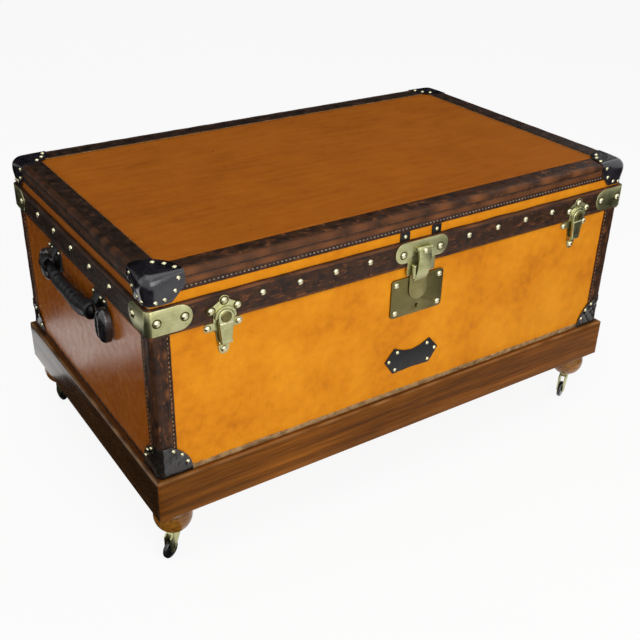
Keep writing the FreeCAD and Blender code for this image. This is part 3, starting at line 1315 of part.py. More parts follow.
def build_body_nails(nails):
    """Nails of the lock, patch and chapes, beside those of the bottom caps."""
    inset = mm.lock_nail_inset
    for tag, sign in SIDES:
        for end, z in (("low", lock_low + inset), ("high", lock_top - inset)):
            nails.append(nail("lock_nail_%s_%s" % (tag, end), "front",
                              sign * (mm.lock_width / 2 - inset), z, mm.lock_plate, mm.lock_nail))
        for count, (u, v) in enumerate(PATCH_NAIL_SHARES):
            z = parting - mm.patch_drop + mm.patch_height / 2 * v
            nails.append(nail("patch_nail_%s_%d" % (tag, count), "front",
                              sign * mm.patch_width / 2 * u, z, mm.patch, mm.cap_nail))
        middle = sign * latch_mid
        side = mm.latch_side
        side_z = parting - mm.part_gap - mm.latch_arm_start - mm.latch_lobe_radius
        tab_z = parting - mm.latch_drop + mm.latch_tab_radius
        for end, x, z in (("a", middle - side, side_z), ("b", middle + side, side_z),
                          ("c", middle, tab_z)):
            nails.append(nail("latch_base_rivet_%s_%s" % (tag, end), "front", x, z,
                              mm.latch_plate, mm.rivet))
        nail_z = parting - mm.handle_drop + mm.chape_rise - mm.chape_nail_inset
        for end, way in (("a", -1), ("b", 1)):
            for count in range(CHAPE_NAIL_COUNT):
                step = mm.chape_nail_spacing * (count - (CHAPE_NAIL_COUNT - 1) / 2)
                y = way * (mm.loop_offset + mm.chape_offset) + step
                nails.append(nail("chape_nail_%s_%s_%d" % (tag, end, count), tag, y, nail_z,
                                  mm.chape, mm.chape_nail))
    node("body_nails", group("body_nails_set", nails))


def build_lid_rivets():
    """Rivets of the hasp's plate, the latch keepers and the corner brackets."""
    rivets = []
    for tag, sign in SIDES:
        rivets.append(nail("hasp_plate_rivet_" + tag, "front",
                           sign * mm.hasp_plate_width / 2 * HASP_RIVET_SHARE,
                           parting + mm.hasp_plate_rise * HASP_RIVET_RISE_SHARE,
                           mm.band + mm.hasp_plate, mm.rivet))
        middle = sign * latch_mid
        side = mm.keeper_side
        level = mm.band + mm.latch_plate
        side_z = parting + mm.keeper_side_rise
        tab_z = parting + mm.keeper_rise - mm.latch_tab_radius
        for end, x, z in (("a", middle - side, side_z), ("b", middle + side, side_z),
                          ("c", middle, tab_z)):
            rivets.append(nail("keeper_rivet_%s_%s" % (tag, end), "front", x, z, level, mm.rivet))
    level = mm.band + mm.bracket
    z = parting + mm.bracket_rise
    for tag, sx, sy in CORNERS:
        long_face = "front" if sy < 0 else "back"
        end_face = "left" if sx < 0 else "right"
        for count, share in enumerate(BRACKET_RIVET_SHARES):
            x = sx * (face_x + level - mm.bracket_reach * share)
            rivets.append(nail("bracket_rivet_%s_%d" % (tag, count), long_face, x, z, level, mm.rivet))
        y = sy * (face_y + level - mm.bracket_side_reach * BRACKET_SIDE_RIVET_SHARE)
        rivets.append(nail("bracket_end_rivet_" + tag, end_face, y, z, level, mm.rivet))
    node("lid_rivets", group("lid_rivets_set", rivets))


def check_and_write():
    """Stop on a failed object or a bad shape, then write each sub-part's STEP file."""
    doc.recompute()
    for item in doc.Objects:
        for word in item.State:
            if word in ("Invalid", "Error"):
                raise RuntimeError("%s is %s" % (item.Name, word))
    for name, item in nodes.items():
        shape = item.Shape
        if shape.isNull() or not shape.isValid() or not shape.Solids:
            raise RuntimeError("bad shape: " + name)
    os.makedirs("parts", exist_ok=True)
    for name, item in nodes.items():
        item.Shape.exportStep("parts/%s.step" % name)


build_stand()
build_feet()
build_body_carcass()
build_body_leather()
build_lid_carcass()
build_lid_leather()
build_brackets()
hinge_pins = build_hinges()
build_lock()
build_hasp()
build_latches(hinge_pins)
build_patch_and_tabs()
build_handles()
lid_nail_heads, body_nail_heads = build_cap_nails()
build_lid_nails(lid_nail_heads)
build_body_nails(body_nail_heads)
build_lid_rivets()
check_and_write()
print("wrote %d sub-parts" % len(nodes))
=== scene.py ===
"""Looks of a canvas cabin trunk on its wooden stand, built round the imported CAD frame."""

import json
import logging
import math
from dataclasses import dataclass
from enum import Enum
from typing import Callable

import bmesh
import bpy
import numpy as np
from mathutils import Matrix, Vector

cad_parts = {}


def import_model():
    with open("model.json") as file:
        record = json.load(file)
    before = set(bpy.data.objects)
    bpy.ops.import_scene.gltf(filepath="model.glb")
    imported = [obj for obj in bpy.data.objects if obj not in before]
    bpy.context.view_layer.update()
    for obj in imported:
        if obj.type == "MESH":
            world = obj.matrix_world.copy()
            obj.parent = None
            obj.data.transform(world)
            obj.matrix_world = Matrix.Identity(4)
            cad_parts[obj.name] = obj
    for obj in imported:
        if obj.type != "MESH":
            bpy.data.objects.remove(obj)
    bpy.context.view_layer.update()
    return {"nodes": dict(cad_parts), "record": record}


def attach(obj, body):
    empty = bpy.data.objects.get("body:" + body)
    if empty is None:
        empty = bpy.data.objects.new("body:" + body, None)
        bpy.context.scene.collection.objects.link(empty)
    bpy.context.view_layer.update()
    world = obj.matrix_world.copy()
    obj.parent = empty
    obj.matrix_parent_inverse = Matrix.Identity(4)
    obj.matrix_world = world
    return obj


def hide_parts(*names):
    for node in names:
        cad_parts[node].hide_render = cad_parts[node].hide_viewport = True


Grid = np.ndarray
Item = bpy.types.Object
Tree = bpy.types.NodeTree
Node = bpy.types.Node
Socket = bpy.types.NodeSocket

LOG = logging.getLogger("trunk")
MM = 0.001
TRUNK_MIDDLE = (0.0, 0.0, 0.33)
CORNERS = {"fl": (-1, -1), "fr": (1, -1), "bl": (-1, 1), "br": (1, 1)}

# A wandering line's sines, and the gain that brings their mean close to the range from -1 to 1.
SEED = 7
SINES = 6
LONGEST_SHARE = 4.0
WANDER_GAIN = 1.6

# Points this close are one.
MERGE = 0.004 * MM
THINNEST = 0.002 * MM
CAD_MERGE = 0.01 * MM

# Edges sharper than this many degrees stay crisp.
CRISP = 40.0
SOFT = 60.0
HEAD_SMOOTH = 50.0
# How far a nail head's skirt goes below its rim, as a share of its height.
HEAD_SKIRT = 0.05

# A CAD piece's copy: faces this close to flat are one, edges past the second angle are broken.
FLAT_DEGREES = 1.0
SHARP_DEGREES = 35.0
BEVEL_SEGMENTS = 2

# Steps round a quarter circle of a loop, and a direction that no axis of the trunk has.
CORNER_STEPS = 8
OFF_AXIS = (0.31, 0.52, 0.79)
# The two directions of soft lumps, how far their seeds lie apart, and their weight.
SLANT_ONE = (0.8, 0.5, 0.6)
SLANT_TWO = (-0.5, 0.7, 0.75)
SLANT_SEED = 50
SLANT_SHARE = 0.7

# Usual settings and output of some kinds of node. A mix takes its share in input 0 and its two
# colours in 6 and 7; a map range its value in 0, its old range in 1 and 2, its new one in 3 and 4.
USUAL = {"Mix": ({"data_type": "RGBA"}, 2), "TexCoord": ({}, "Object"), "TexWave": ({}, 1),
         "Attribute": ({"attribute_name": "wear"}, "Fac")}
# Most clouds keep within this range of their noise.
CLOUD_LOW, CLOUD_HIGH = 0.3, 0.7
# A wave texture of scale one turns through this many radians in a metre.
WAVE_RADIANS = 20.0


class Side(Enum):
    """The four upright sides of the trunk, each with the turn that brings the front to it."""

    FRONT = 0
    RIGHT = 1
    BACK = 2
    LEFT = 3

    @property
    def long(self) -> bool:
        """True for the two sides that run along X."""
        return self in (Side.FRONT, Side.BACK)

    @property
    def tag(self) -> str:
        """The side's name in a piece's name."""
        return self.name.lower()

    @property
    def turn(self) -> float:
        """The turn about Z that brings the front to this side, in radians."""
        return self.value * math.pi / 2

    def along(self, pair: tuple) -> float:
        """The member of an (x, y) pair that is measured along this side."""
        return pair[0] if self.long else pair[1]

    def across(self, pair: tuple) -> float:
        """The member of an (x, y) pair that is measured square to this side."""
        return pair[1] if self.long else pair[0]

    def run(self, grid: Grid) -> Grid:
        """The coordinate of a grid's points that runs along this side."""
        return grid[..., 0 if self.long else 1]


def linear(code: str) -> tuple[float, float, float, float]:
    """Turn an sRGB hex colour into linear RGBA.

    Args:
        code: Six hex digits.

    Returns:
        Red, green, blue and alpha, linear.
    """
    shares = np.array([int(code[i:i + 2], 16) / 255 for i in (0, 2, 4)])
    lit = np.where(shares <= 0.04045, shares / 12.92, ((shares + 0.055) / 1.055) ** 2.4)
    return (*lit.tolist(), 1.0)


def add(tree: Tree, kind: str, sockets: dict | None = None, whole: bool = False,
        stops: list[tuple[float, str]] | None = None, **settings: object) -> Socket | Node:
    """Add a node, set its options, and set or link its input sockets.

    Args:
        tree: The material's node tree.
        kind: The node's type, without its ShaderNode prefix.
        sockets: Values or output sockets by input name or index. A hex text is a colour.
        whole: Return the node, not one of its outputs.
        stops: Places and hex colours of a colour ramp.
        settings: The node's own options by name.

    Returns:
        The output socket that is used here, or the node.
    """
    node = tree.nodes.new("ShaderNode" + kind)
    usual, output = USUAL.get(kind, ({}, 0))
    for name, value in {**usual, **settings}.items():
        setattr(node, name, value)
    for name, value in (sockets or {}).items():
        if isinstance(value, bpy.types.NodeSocket):
            tree.links.new(value, node.inputs[name])
        else:
            node.inputs[name].default_value = linear(value) if isinstance(value, str) else value
    for place, (where, code) in enumerate(stops or []):
        elements = node.color_ramp.elements
        element = elements[place] if place < len(elements) else elements.new(where)
        element.position = where
        element.color = linear(code)
    return node if whole else node.outputs[output]


def seen_share(tree: Tree) -> Socket:
    """Tell the rays that show a surface from those that it lights.

    Args:
        tree: The node tree.

    Returns:
        One for a ray from the camera, off a mirror or through glass, and zero for the rest.
    """
    path = add(tree, "LightPath", whole=True)
    seen = path.outputs["Is Camera Ray"]
    for kind in ("Is Glossy Ray", "Is Transmission Ray"):
        seen = add(tree, "Math", {0: seen, 1: path.outputs[kind]}, operation="MAXIMUM")
    return seen


@dataclass(frozen=True)
class Finish:
    """What every finish shares: its name and its shader's plain values."""

    name: str
    roughness: float = 0.5
    metallic: float = 0.0
    coat: float = 0.0
    coat_roughness: float = 0.1
    sheen: float = 0.0
    specular: float = 0.5

    def make(self) -> bpy.types.Material:
        """Build the material: the shader, then colour, roughness and bump from paint().

        Returns:
            The Blender material.
        """
        material = bpy.data.materials.new(self.name)
        material.use_nodes = True
        tree = material.node_tree
        tree.nodes.clear()
        shader = add(tree, "BsdfPrincipled", {
            "Metallic": self.metallic, "Roughness": self.roughness, "Coat Weight": self.coat,
            "Coat Roughness": self.coat_roughness, "Sheen Weight": self.sheen,
            "Specular IOR Level": self.specular}, whole=True)
        add(tree, "OutputMaterial", {0: shader.outputs[0]}, whole=True)
        place = add(tree, "TexCoord")
        self.paint(tree, place, shader)
        return material

    def paint(self, tree: Tree, place: Socket, shader: Node) -> None:
        """Link the pattern's nodes to the shader.

        Args:
            tree: The material's node tree.
            place: Object coordinates in metres.
            shader: The shader.
        """

    def cover(self, tree: Tree, shader: Node, colour: Socket, pattern: Socket, at_low: float,
              at_high: float) -> None:
        """Link the colour, and a roughness that follows a pattern.

        Args:
            tree: The material's node tree.
            shader: The shader.
            colour: The finished colour.
            pattern: The pattern that the roughness follows.
            at_low: What the roughness gains where the pattern is low.
            at_high: What it gains where the pattern is high.
        """
        tree.links.new(colour, shader.inputs["Base Color"])
        gloss = add(tree, "MapRange", {0: pattern, 1: CLOUD_LOW, 2: CLOUD_HIGH, 3: self.roughness + at_low,
                                       4: self.roughness + at_high})
        tree.links.new(gloss, shader.inputs["Roughness"])

    def relief(self, tree: Tree, shader: Node, heights: list[tuple[Socket, float, float]]) -> None:
        """Chain bumps, coarse first.

        Args:
            tree: The material's node tree.
            shader: The shader whose normal they drive.
            heights: Height socket, depth in millimetres and strength of each bump.
        """
        normal = None
        for height, depth_mm, strength in heights:
            sockets = {"Height": height, "Distance": depth_mm * MM, "Strength": strength}
            if normal:
                sockets["Normal"] = normal
            normal = add(tree, "Bump", sockets)
        tree.links.new(normal, shader.inputs["Normal"])

    def patches(self, tree: Tree, place: Socket, size_mm: float, detail: float = 3.0,
                stretch: tuple = (1, 1, 1), rough: float = 0.5) -> Socket:
        """A cloudy pattern whose largest patches have a real size, stretched on each axis."""
        scaled = add(tree, "Mapping", {"Vector": place, "Scale": stretch})
        return add(tree, "TexNoise", {"Vector": scaled, "Scale": 1 / (size_mm * MM), "Detail": detail,
                                      "Roughness": rough})


@dataclass(frozen=True)
class CoatedCanvas(Finish):
    """Cotton canvas woven plain and brushed with varnish: an orange cloth with a soft gloss.

    The varnish gives a wide dim reflection, darker where it has pooled or caught dirt. The real
    threads lie 0.8 mm apart, too fine to show, so the weave is drawn 2.4 mm apart.
    """

    light: str = "e0901b"
    mean: str = "d28013"
    dark: str = "b5640e"
    # The top's three tones are darker than the sides': partly the canvas's own soiling, partly painted
    # shade.
    top_light: str = "b06415"
    top_mean: str = "a55a12"
    top_dark: str = "8f4c0e"
    # A darker tone mixed over the short ends: painted shade for the ends turned away from the light.
    end_shade_tone: str = "79380e"
    end_shade_share: float = 0.78
    end_at: float = 0.447
    end_fade: float = 1.2 * MM
    top_at: float = 0.4855
    top_fade: float = 1.5 * MM
    spot: str = "5c2c0a"
    spot_mm: float = 22.0
    spot_from: float = 0.72
    spot_fade: float = 0.1
    mottle_mm: float = 90.0
    fine_share: float = 0.35
    brushed_mm: float = 10.0
    brushed_stretch: tuple = (0.12, 1, 1)
    brushed_share: float = 0.45
    weave_mm: float = 2.4
    weave_waver: float = 0.6
    weave_shades: tuple = (0.93, 1.04)
    relief_share: float = 1.0

    def paint(self, tree: Tree, place: Socket, shader: Node) -> None:
        """Cloudy colour, ends darkened with painted shade, a top darkened by soiling and painted shade,
        spots, a weave, and roughness from the clouds.
        """
        clouds = self.patches(tree, place, self.mottle_mm, 4.0)
        fine = self.patches(tree, place, self.mottle_mm / 6, 5.0, rough=0.6)
        mixed = add(tree, "Mix", {0: self.fine_share, 6: clouds, 7: fine})
        body = add(tree, "ValToRGB", {0: mixed},
                   stops=[(0.28, self.dark), (0.45, self.mean), (0.62, self.light)])
        brushed = self.patches(tree, place, self.brushed_mm, 4.0, self.brushed_stretch, 0.6)
        strokes = add(tree, "Mix", {0: self.brushed_share, 6: mixed, 7: brushed})
        top = add(tree, "ValToRGB", {0: strokes},
                  stops=[(0.3, self.top_dark), (0.47, self.top_mean), (0.66, self.top_light)])
        parts = add(tree, "SeparateXYZ", {0: place}, whole=True)
        away = add(tree, "Math", {0: parts.outputs[0]}, operation="ABSOLUTE")
        on_end = add(tree, "MapRange", {0: away, 1: self.end_at, 2: self.end_at + self.end_fade})
        on_top = add(tree, "MapRange", {0: parts.outputs[2], 1: self.top_at,
                                        2: self.top_at + self.top_fade})
        # The short ends are darkened with painted shade.
        end_shade_colour = add(tree, "Mix", {0: self.end_shade_share, 6: body, 7: self.end_shade_tone})
        colour = add(tree, "Mix", {0: on_end, 6: body, 7: end_shade_colour})
        # The top takes its darker tones: soiling and painted shade.
        colour = add(tree, "Mix", {0: on_top, 6: colour, 7: top})
        flecks = self.patches(tree, place, self.spot_mm, 2.0, rough=0.7)
        spots = add(tree, "MapRange", {0: flecks, 1: self.spot_from, 2: self.spot_from + self.spot_fade},
                    interpolation_type="SMOOTHSTEP")
        colour = add(tree, "Mix", {0: spots, 6: colour, 7: self.spot})
        waves = {"Vector": place, "Scale": 2 * math.pi / WAVE_RADIANS / (self.weave_mm * MM),
                 "Distortion": self.weave_waver}
        threads = [add(tree, "TexWave", waves, bands_direction=way) for way in ("X", "Z")]
        weave = add(tree, "Math", {0: threads[0], 1: threads[1]}, operation="ADD")
        shade = add(tree, "MapRange", {0: weave, 1: 0.0, 2: 2.0, 3: self.weave_shades[0],
                                       4: self.weave_shades[1]})
        colour = add(tree, "Mix", {0: 1.0, 6: colour, 7: shade}, blend_type="MULTIPLY")
        self.cover(tree, shader, colour, fine, -0.07, 0.1)
        depth = self.relief_share
        self.relief(tree, shader, [(clouds, 1.2 * depth, 0.35), (fine, 0.5 * depth, 0.25),
                                   (weave, 0.25 * depth, 0.3)])


@dataclass(frozen=True)
class EdgeLeather(Finish):
    """Sewn bridle leather: dark brown, creased along its length, rubbed to red-brown."""

    dark: str = "1c110a"
    mean: str = "3d2312"
    worn: str = "875028"
    grain_mm: float = 5.0
    streak_mm: float = 15.0
    streak_share: float = 0.3
    worn_from: tuple = (0.54, 0.74)
    worn_share: float = 0.75
    upright: bool = False

    def paint(self, tree: Tree, place: Socket, shader: Node) -> None:
        """Blotches of two browns, thin worn streaks and a fine pebbled grain."""
        level, upright = (self.streak_share, self.streak_share, 1.0), (1.0, 1.0, 0.25)
        stretch = upright if self.upright else level
        blotch = self.patches(tree, place, self.streak_mm, 5.0, rough=0.62)
        streak = self.patches(tree, place, self.streak_mm / 3, 4.0, stretch, 0.65)
        colour = add(tree, "ValToRGB", {0: blotch}, stops=[(0.35, self.dark), (0.62, self.mean)])
        wear = add(tree, "MapRange", {0: streak, 1: self.worn_from[0], 2: self.worn_from[1]},
                   interpolation_type="SMOOTHSTEP")
        wear = add(tree, "Math", {0: wear, 1: self.worn_share}, operation="MULTIPLY")
        edge = add(tree, "Attribute")
        rubbed = add(tree, "Math", {0: wear, 1: edge}, operation="MAXIMUM")
        colour = add(tree, "Mix", {0: rubbed, 6: colour, 7: self.worn})
        self.cover(tree, shader, colour, streak, -0.12, 0.14)
        grain = add(tree, "TexVoronoi", {"Vector": place, "Scale": 1 / (self.grain_mm * MM)})
        self.relief(tree, shader, [(streak, 2.0, 0.6), (grain, 0.3, 0.35)])


@dataclass(frozen=True)
class CapLeather(Finish):
    """Hide moulded wet over the corners and waxed: near black, glossy, wrinkled at its rims."""

    dark: str = "110e0d"
    mean: str = "241e1b"
    worn: str = "4a3f38"
    grain_mm: float = 3.0
    wrinkle_mm: float = 16.0
    wrinkle_stretch: tuple = (1, 1, 0.5)
    crumple_mm: float = 1.6

    def paint(self, tree: Tree, place: Socket, shader: Node) -> None:
        """Two near blacks, rubbed rims and shallow wrinkles under a polish."""
        cloud = self.patches(tree, place, self.wrinkle_mm * 1.6, 4.0, rough=0.6)
        colour = add(tree, "ValToRGB", {0: cloud}, stops=[(0.35, self.dark), (0.68, self.mean)])
        edge = add(tree, "Attribute")
        ragged = add(tree, "Math", {0: edge, 1: cloud}, operation="MULTIPLY")
        colour = add(tree, "Mix", {0: ragged, 6: colour, 7: self.worn})
        self.cover(tree, shader, colour, cloud, -0.08, 0.16)
        folds = self.patches(tree, place, self.wrinkle_mm, 3.0, self.wrinkle_stretch, 0.55)
        grain = add(tree, "TexVoronoi", {"Vector": place, "Scale": 1 / (self.grain_mm * MM)})
        self.relief(tree, shader, [(folds, self.crumple_mm, 0.4), (grain, 0.15, 0.2)])


@dataclass(frozen=True)
class WornBrass(Finish):
    """Cast or rolled brass gone dull: pale greenish gold, brown in the hollows, bright at the rubs."""

    metallic: float = 1.0
    light: str = "cfcda0"
    mean: str = "aeac7b"
    dark: str = "77743f"
    patch_mm: float = 24.0
    scratch_mm: float = 3.0
    scratch_stretch: tuple = (0.3, 1, 1)
    scratch_share: float = 0.3

    def paint(self, tree: Tree, place: Socket, shader: Node) -> None:
        """Patches of tarnish, fine scuffs, and roughness that follows both."""
        patch = self.patches(tree, place, self.patch_mm, 5.0, rough=0.6)
        scuff = self.patches(tree, place, self.scratch_mm, 3.0, self.scratch_stretch, 0.7)
        colour = add(tree, "ValToRGB", {0: patch},
                     stops=[(0.22, self.dark), (0.45, self.mean), (0.75, self.light)])
        rubbed = add(tree, "ValToRGB", {0: scuff}, stops=[(0.35, self.mean), (0.65, self.light)])
        colour = add(tree, "Mix", {0: self.scratch_share, 6: colour, 7: rubbed})
        self.cover(tree, shader, colour, patch, 0.16, -0.06)
        self.relief(tree, shader, [(patch, 0.5, 0.25), (scuff, 0.12, 0.3)])


@dataclass(frozen=True)
class Timber(Finish):
    """Sawn and planed wood: long fibres of two tones, with or without varnish over them."""

    light: str = "8f561c"
    mean: str = "6a3a12"
    dark: str = "3a1e0a"
    worn: str = "b08050"
    grain_mm: float = 12.0
    length_share: float = 0.035
    across_x: bool = True
    pore_share: float = 0.3
    pore_depth_mm: float = 0.25
    board_shades: tuple = (0.72, 1.2)

    def paint(self, tree: Tree, place: Socket, shader: Node) -> None:
        """Streaks drawn out along the fibres, fine pores, and gloss that varies with both."""
        long_x, long_y = (self.length_share, 1.0, 1.0), (1.0, self.length_share, 1.0)
        stretch = long_x if self.across_x else long_y
        streak = self.patches(tree, place, self.grain_mm, 5.0, stretch, 0.6)
        pore = self.patches(tree, place, self.grain_mm / 5, 3.0, stretch, 0.7)
        cloud = self.patches(tree, place, self.grain_mm * 14, 2.0)
        colour = add(tree, "ValToRGB", {0: streak},
                     stops=[(0.3, self.dark), (0.5, self.mean), (0.7, self.light)])
        pores = add(tree, "ValToRGB", {0: pore}, stops=[(0.35, self.dark), (0.65, self.light)])
        colour = add(tree, "Mix", {0: self.pore_share, 6: colour, 7: pores})
        shade = add(tree, "MapRange", {0: cloud, 1: CLOUD_LOW, 2: CLOUD_HIGH, 3: self.board_shades[0],
                                       4: self.board_shades[1]})
        colour = add(tree, "Mix", {0: 1.0, 6: colour, 7: shade}, blend_type="MULTIPLY")
        edge = add(tree, "Attribute")
        colour = add(tree, "Mix", {0: edge, 6: colour, 7: self.worn})
        self.cover(tree, shader, colour, streak, 0.08, -0.05)
        self.relief(tree, shader, [(streak, 0.5, 0.2), (pore, self.pore_depth_mm, 0.25)])


@dataclass(frozen=True)
class Plain(Finish):
    """A quiet finish of two near tones and a fine grain, for parts inside and small metal."""

    light: str = "8d8a84"
    dark: str = "5f5c57"
    patch_mm: float = 6.0
    grain_mm: float = 1.5
    depth_mm: float = 0.15

    def paint(self, tree: Tree, place: Socket, shader: Node) -> None:
        """Small patches of two tones, with a fine bump."""
        patch = self.patches(tree, place, self.patch_mm, 4.0, rough=0.6)
        grain = self.patches(tree, place, self.grain_mm, 2.0)
        colour = add(tree, "ValToRGB", {0: patch}, stops=[(0.35, self.dark), (0.65, self.light)])
        tree.links.new(colour, shader.inputs["Base Color"])
        self.relief(tree, shader, [(grain, self.depth_mm, 0.4)])


@dataclass(frozen=True)
class PaleFloor(Finish):
    """Painted white boards: nearly white where they are seen, and still darker in the shadow."""

    light: str = "fafafa"
    dark: str = "f5f5f5"
    patch_mm: float = 700.0
    own_share: float = 0.9

    def paint(self, tree: Tree, place: Socket, shader: Node) -> None:
        """A faint cloud of tone, and plain white for seen and mirrored rays over most of it."""
        cloud = self.patches(tree, place, self.patch_mm)
        colour = add(tree, "ValToRGB", {0: cloud},
                     stops=[(CLOUD_LOW, self.dark), (CLOUD_HIGH, self.light)])
        tree.links.new(colour, shader.inputs["Base Color"])
        share = add(tree, "Math", {0: seen_share(tree), 1: self.own_share}, operation="MULTIPLY")
        white = add(tree, "Emission", {0: "ffffff", 1: 1.0})
        mixed = add(tree, "MixShader", {0: share, 1: shader.outputs[0], 2: white})
        output = next(node for node in tree.nodes if node.bl_idname == "ShaderNodeOutputMaterial")
        tree.links.new(mixed, output.inputs[0])


def finishes() -> dict[str, bpy.types.Material]:
    """Make every finish once.

    Returns:
        The materials, by the record's slot names and, for the others, by their own names.
    """
    by_slot = {
        "stand_wood": Timber("varnished_beech_dark", roughness=0.34, specular=0.05, coat=0.03,
                             coat_roughness=0.16, light="8c5216", mean="65380c", dark="3a2008"),
        "block_wood": Timber("bare_pine", roughness=0.7, light="b98f5f", mean="a27a4d", dark="7b5a36"),
        "foot_wood": Timber("turned_amber_wood", roughness=0.28, specular=0.25, coat=0.4,
                            light="ad7019", mean="80500f", dark="442707", worn="a39780", grain_mm=5.0),
        "brass": WornBrass("worn_rolled_brass", roughness=0.3),
        "brass_nail": WornBrass("domed_brass_nail", roughness=0.24, light="ece7cb", mean="cdc69c",
                                dark="8c845a", patch_mm=7.0),
        "steel": Plain("turned_steel", roughness=0.35, metallic=1.0, light="9b9a97", dark="6e6d6a"),
        "wheel_black": Plain("hard_black_rubber", roughness=0.3, coat=0.3, light="1b1b1e", dark="0b0b0d"),
        "carcass_board": Timber("planed_poplar", roughness=0.65, light="c7a878", mean="b59465",
                                dark="94744a"),
        "canvas": CoatedCanvas("varnished_cotton_canvas", roughness=0.5, specular=0.08),
        "canvas_lid": CoatedCanvas("varnished_cotton_canvas_lid", roughness=0.55, specular=0.06),
        "lining": Plain("linen_lining", roughness=0.85, light="c3b189", dark="b6a47d", patch_mm=25.0,
                        grain_mm=2.0, depth_mm=0.3, sheen=0.2),
        "edge_leather": EdgeLeather("sewn_bridle_leather", roughness=0.45, specular=0.2),
        "worn_binding": EdgeLeather("binding_worn_pale", roughness=0.6, specular=0.2, dark="6f5233",
                                    mean="a98558", worn="cdb68e"),
        # The faint blue in these near blacks is a painted sheen.
        "cap_leather": CapLeather("moulded_waxed_leather", roughness=0.22, specular=0.46, coat=0.4,
                                  dark="121013", mean="252229"),
        "handle_leather": CapLeather("stitched_black_leather", roughness=0.42, specular=0.25, coat=0.06,
                                     coat_roughness=0.25, dark="0c0b0c", mean="191718", wrinkle_mm=9.0,
                                     grain_mm=3.5),
    }
    others = (
        # The short rails' darker tones are painted shade for the ends turned away from the light.
        Timber("varnished_beech_short_rails_painted_shade", roughness=0.26, specular=0.42, coat=0.25,
               coat_roughness=0.12, light="4e321a", mean="3c2512", dark="28180b", across_x=False,
               pore_depth_mm=0.04),
        # A lighter, redder ledge: painted reflection of the orange canvas above it.
        Timber("varnished_beech_ledge_painted_reflection", roughness=0.4, specular=0.12, coat=0.1,
               coat_roughness=0.2, light="a0541a", mean="7e4210", dark="52290a", across_x=False,
               pore_depth_mm=0.04),
        # Its end tone is painted shade on the body's short sides.
        CoatedCanvas("varnished_canvas_polished_ends", roughness=0.25, specular=0.58, spot_from=0.78,
                     end_shade_tone="863d0b", relief_share=0.3),
        EdgeLeather("sewn_bridle_leather_upright", roughness=0.42, specular=0.2, upright=True),
        # Darker leather for the sides away from the front: painted shade.
        EdgeLeather("sewn_bridle_leather_painted_shade", roughness=0.45, specular=0.2, dark="120c08",
                    mean="2a1a10", worn="5c3820", worn_share=0.5),
        Plain("waxed_linen_thread", roughness=0.5, light="a0988a", dark="5d554c", patch_mm=9.0, sheen=0.1),
        CapLeather("moulded_waxed_hide_crumpled", roughness=0.2, specular=0.45, coat=0.4,
                   coat_roughness=0.12, wrinkle_mm=9.0, crumple_mm=5.0),
        # The faint blue in these near blacks is a painted sheen.
        CapLeather("polished_black_leather", roughness=0.24, specular=0.5, coat=0.5,
                   coat_roughness=0.12, dark="0c0b0d", mean="1d1c20", wrinkle_mm=12.0),
        WornBrass("tarnished_brass_collar", roughness=0.5, light="6a6038", mean="4a4226", dark="2a2413"),
        WornBrass("dull_lock_brass", roughness=0.34, light="7d7448", mean="69603a", dark="4d4526",
                  patch_mm=40.0),
        WornBrass("dull_lock_brass_rubbed", roughness=0.3, light="9c9364", mean="857b4e", dark="655c38",
                  patch_mm=30.0),
        PaleFloor("pale_floor", roughness=0.9, specular=0.1),
        Plain("black_card", roughness=0.95, light="0a0a0a", dark="060606", patch_mm=300.0,
              grain_mm=20.0, specular=0.0),
    )
    every = {**by_slot, **{finish.name: finish for finish in others}}
    return {key: finish.make() for key, finish in every.items()}


def wander(seed: int, places: Grid, shortest: float) -> Grid:
    """A smooth wandering line with the same shape each run.

    Formula: the mean of sines whose lengths and starts come from a seeded generator.

    Args:
        seed: Picks the line.
        places: Where it is read, in metres.
        shortest: The shortest wave's length in metres.

    Returns:
        One number per place, from about -1 to 1.
    """
    source = np.random.default_rng(SEED + seed)
    lengths = source.uniform(1.0, LONGEST_SHARE, SINES)
    starts = source.uniform(0.0, 2 * np.pi, SINES)
    turns = places[..., None] / (shortest * lengths) * 2 * np.pi + starts
    return np.sin(turns).mean(-1) * WANDER_GAIN


def hill(places: Grid, middle: float, reach: float, power: int = 2) -> Grid:
    """A smooth ridge of height one: exp of minus the way from the middle over the reach, to a power."""
    return np.exp(-((places - middle) / reach) ** power)


def beyond(limit: float) -> Callable[[Grid], Grid]:
    """A test that is true for the faces further than a limit from the middle, along X."""
    return lambda middles: np.abs(middles[:, 0]) > limit


def padded(columns: Grid) -> Grid:
    """Repeat the first and the last column, for a grid that capped() or close_sides() widens."""
    return np.concatenate([columns[:, :1], columns, columns[:, -1:]], 1)


